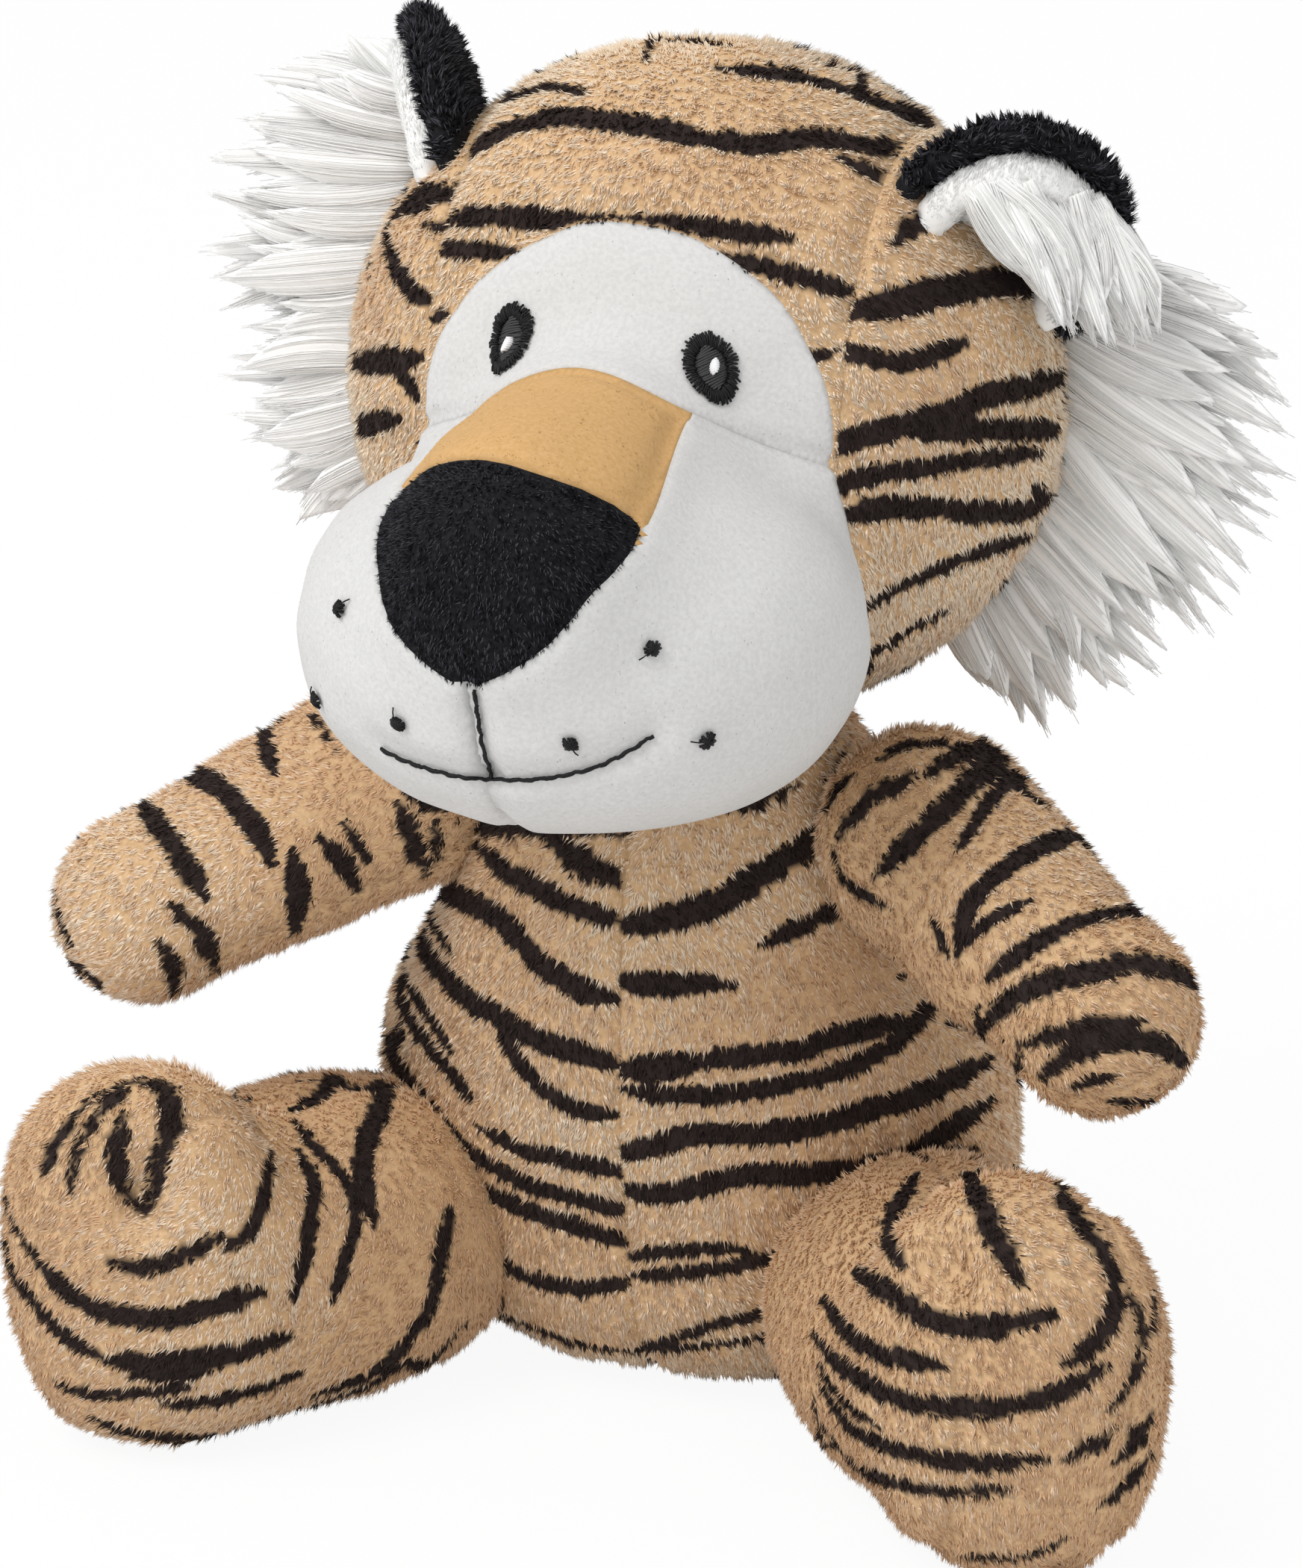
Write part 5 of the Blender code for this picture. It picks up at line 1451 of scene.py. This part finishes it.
class Lock:
    """A flat pointed lock of hair from start to end: a thin core and the strands that lie on it."""

    def __init__(self, start, end, half, layer, random):
        self.start, self.run = np.asarray(start), np.asarray(end) - start
        self.length = np.linalg.norm(self.run)
        self.across = unit(np.cross(self.run, (0.0, 1.0, 0.0)))
        self.half, self.layer = half, layer
        self.bend = random.normal(0.0, 0.05) * self.length
        self.skew = random.uniform(-0.35, 0.35)
        self.point = random.uniform(0.22, 0.42)

    def reach(self, side):
        """How far along the lock a strand at this side (-1 to 1) ends."""
        return 1.0 - self.point * np.abs(side - self.skew) ** 1.2

    def place(self, side, share):
        """Points at this side and share of the length."""
        part = np.minimum(share, 1.0)
        width = self.half * (0.85 + 0.25 * np.sin(math.pi * part) - 0.30 * share**2)
        sway = self.bend * np.sin(math.pi * part) + side * width
        points = self.start + self.run * share[..., None] + self.across * sway[..., None]
        depth = self.layer * MANE_HALF_DEPTH * (0.35 + 0.65 * np.sin(0.75 * math.pi * part))
        points[..., 1] += depth + LOCK_CUP * side**2
        return points

    def core(self):
        rows, columns = LOCK_ROWS, LOCK_COLUMNS
        side, share = np.meshgrid(np.linspace(-1.0, 1.0, columns), np.linspace(0.0, 1.0, rows))
        share = share * self.reach(side) * 0.97
        points = self.place(side * 0.97, share).reshape(-1, 3)
        corner = (np.arange(rows - 1)[:, None] * columns + np.arange(columns - 1)).ravel()
        lower = (corner, corner + 1, corner + columns + 1)
        upper = (corner, corner + columns + 1, corner + columns)
        faces = np.concatenate([np.stack(lower, 1), np.stack(upper, 1)])
        front = np.tile((0.0, -1.0, 0.0), (len(points), 1))
        made, faces, _ = shell(points + front * LOCK_THICKNESS / 2.0, front, faces, LOCK_THICKNESS)
        return made, outward(made, faces)

    def strands(self, random):
        side = random.uniform(-1.0, 1.0, (MANE_STRANDS, 1))
        reach = self.reach(side) * random.uniform(0.86, 1.03, side.shape)
        share = np.linspace(0.0, 1.0, MANE_STEPS) * reach
        wander = random.normal(0.0, 0.04, side.shape) * np.linspace(0.0, 1.0, MANE_STEPS)
        paths = self.place(side + wander, share)
        lift = LOCK_THICKNESS / 2.0 + random.uniform(0.0, LOCK_SPREAD, side.shape)
        paths[..., 1] += np.where(random.uniform(0.0, 1.0, side.shape) < 0.5, -lift, lift)
        return paths


def add_hair(name, node, strands, random):
    """Strands of hair as thin closed tubes that taper to their tips."""
    strands = np.concatenate(strands)
    count = len(strands)
    run = unit(np.gradient(strands, axis=1))
    wide = unit(np.cross(run, unit(random.normal(0.0, 1.0, (count, 1, 3)))))
    deep = np.cross(run, wide)
    taper = (MANE_HALF_WIDTH * np.linspace(1.0, 0.45, MANE_STEPS) ** 0.7)[None, :, None]
    corners = []
    for turn in (0.0, 2.0 * math.pi / 3.0, 4.0 * math.pi / 3.0):
        corners.append(strands + (wide * math.cos(turn) + deep * math.sin(turn) * 0.7) * taper)
    points = np.stack(corners, 2).reshape(-1, 3)
    one = tube_faces(MANE_STEPS, 3)
    faces = (np.arange(count)[:, None, None] * MANE_STEPS * 3 + one).reshape(-1, 3)
    shade = np.repeat(random.integers(0, len(HAIR), count), len(one))
    add_piece(name, "head", node, points, faces, HAIR, shade)


def add_locks(name, node, locks, random):
    """The cores of the locks as one piece, and their strands as another."""
    add_piece(f"{name}_core", "head", node, *joined([each.core() for each in locks]), HAIR[:1])
    add_hair(f"{name}_hair", node, [each.strands(random) for each in locks], random)


def mane(word, random):
    roots = on_plane(MANE_ROOTS[word], MANE_DEPTH[word])
    tips = on_plane(MANE_TIPS[word], MANE_DEPTH[word])
    gaps = np.linalg.norm(np.diff(tips, axis=0), axis=1)
    locks = []
    for index, tip in enumerate(tips):
        near = gaps[max(index - 1, 0) : index + 1].mean()
        half = np.clip(0.62 * near, *LOCK_HALF)
        share = index / (len(tips) - 1)
        locks.append(Lock(along_run(roots, share), tip, half, random.uniform(-0.5, 0.5), random))
    for index in range(MANE_FILL):
        share = (index + random.uniform(0.0, 1.0)) / MANE_FILL
        start = along_run(roots, share)
        end = along_run(tips, np.clip(share + random.normal(0.0, 0.02), 0.0, 1.0))
        end = start + (end - start) * random.uniform(0.66, 0.93)
        layer = (1.0 - 2.0 * (index % 2)) * random.uniform(0.3, 1.0)
        locks.append(Lock(start, end, random.uniform(*LOCK_HALF), layer, random))
    add_locks(f"mane_{word}", f"mane_{word}", locks, random)


def ear_fluff(random):
    """Long hair that hangs out of the left ear over the mane."""
    roots, tips = (on_plane(spots, np.linspace(*FLUFF_DEPTH, len(spots))) for spots in EAR_FLUFF)
    locks = []
    for index in range(FLUFF_LOCKS):
        share = (index + random.uniform(0.0, 1.0)) / FLUFF_LOCKS
        start = along_run(roots, share) + (0.0, random.uniform(0.0, FLUFF_START_SPREAD), 0.0)
        end = along_run(tips, np.clip(share + random.normal(0.0, 0.08), 0.0, 1.0))
        end = start + (end - start) * random.uniform(0.7, 1.0)
        end = end + (0.0, random.uniform(0.0, FLUFF_END_SPREAD), 0.0)
        locks.append(Lock(start, end, LOCK_HALF[0], 0.0, random))
    add_locks("ear_left_fluff", "ear_left_lining", locks, random)


random = np.random.default_rng(45)
mane("left", random)
mane("right", random)
ear_fluff(random)

# A plain pale floor and world, one soft light, and the photograph's camera
FLOOR_SIZE = 6.0
FLOOR_COLOUR = (0.93, 0.93, 0.93)
FLOOR_ROUGHNESS = 0.9
FLOOR_WHITE = 0.93
WHITE = (1.0, 1.0, 1.0, 1.0)
WORLD_LIGHT = 0.84
KEY_POWER = 11.5
KEY_SIZE = 0.9
KEY_PLACE = (-0.50, -0.85, 1.30)


def white_where_seen(tree, white, lit, output, share):
    """Mixes a share of plain white into what the camera, mirror and glass rays see."""
    nodes, links = tree.nodes, tree.links
    white.inputs["Color"].default_value = WHITE
    white.inputs["Strength"].default_value = 1.0

    def maths(operation, first, second=None):
        node = nodes.new("ShaderNodeMath")
        node.operation = operation
        links.new(first, node.inputs[0])
        if second:
            links.new(second, node.inputs[1])
        else:
            node.inputs[1].default_value = share
        return node.outputs[0]

    rays = nodes.new("ShaderNodeLightPath").outputs
    seen_ray = maths("MAXIMUM", rays["Is Camera Ray"], rays["Is Glossy Ray"])
    seen_ray = maths("MAXIMUM", seen_ray, rays["Is Transmission Ray"])
    mix = nodes.new("ShaderNodeMixShader")
    links.new(maths("MULTIPLY", seen_ray), mix.inputs["Fac"])
    links.new(lit.outputs[0], mix.inputs[1])
    links.new(white.outputs[0], mix.inputs[2])
    links.new(mix.outputs[0], nodes[output].inputs["Surface"])


def studio():
    bpy.ops.mesh.primitive_plane_add(size=FLOOR_SIZE, location=(0.0, 0.0, 0.0))
    floor = bpy.context.object
    floor.name = "studio_floor"
    material, lit = new_material("studio_floor", FLOOR_ROUGHNESS, 0.0)
    lit.inputs["Base Color"].default_value = (*FLOOR_COLOUR, 1.0)
    tree = material.node_tree
    white_where_seen(tree, tree.nodes.new("ShaderNodeEmission"), lit, "Material Output", FLOOR_WHITE)
    floor.data.materials.append(material)
    world = bpy.data.worlds.new("studio")
    world.use_nodes = True
    tree = world.node_tree
    lit = tree.nodes["Background"]
    lit.inputs["Color"].default_value = WHITE
    lit.inputs["Strength"].default_value = WORLD_LIGHT
    white_where_seen(tree, tree.nodes.new("ShaderNodeBackground"), lit, "World Output", 1.0)
    bpy.context.scene.world = world
    light = bpy.data.lights.new("key", "AREA")
    light.shape = "DISK"
    light.size = KEY_SIZE
    light.energy = KEY_POWER
    place_in_scene("key", light, KEY_PLACE, Vector(KEY_PLACE) - Vector(CAMERA_TARGET))


def place_in_scene(name, data, place, back):
    """A light or camera that looks away from its back."""
    made = bpy.data.objects.new(name, data)
    bpy.context.scene.collection.objects.link(made)
    made.location = place
    made.rotation_euler = Vector(back).to_track_quat("Z", "Y").to_euler()
    return made


studio()
camera = bpy.data.cameras.new("camera")
camera.lens = CAMERA_LENS
camera.sensor_width = CAMERA_SENSOR
bpy.context.scene.camera = place_in_scene("camera", camera, CAMERA_PLACE, CAMERA_BACK)
bpy.context.scene.view_settings.view_transform = "Standard"
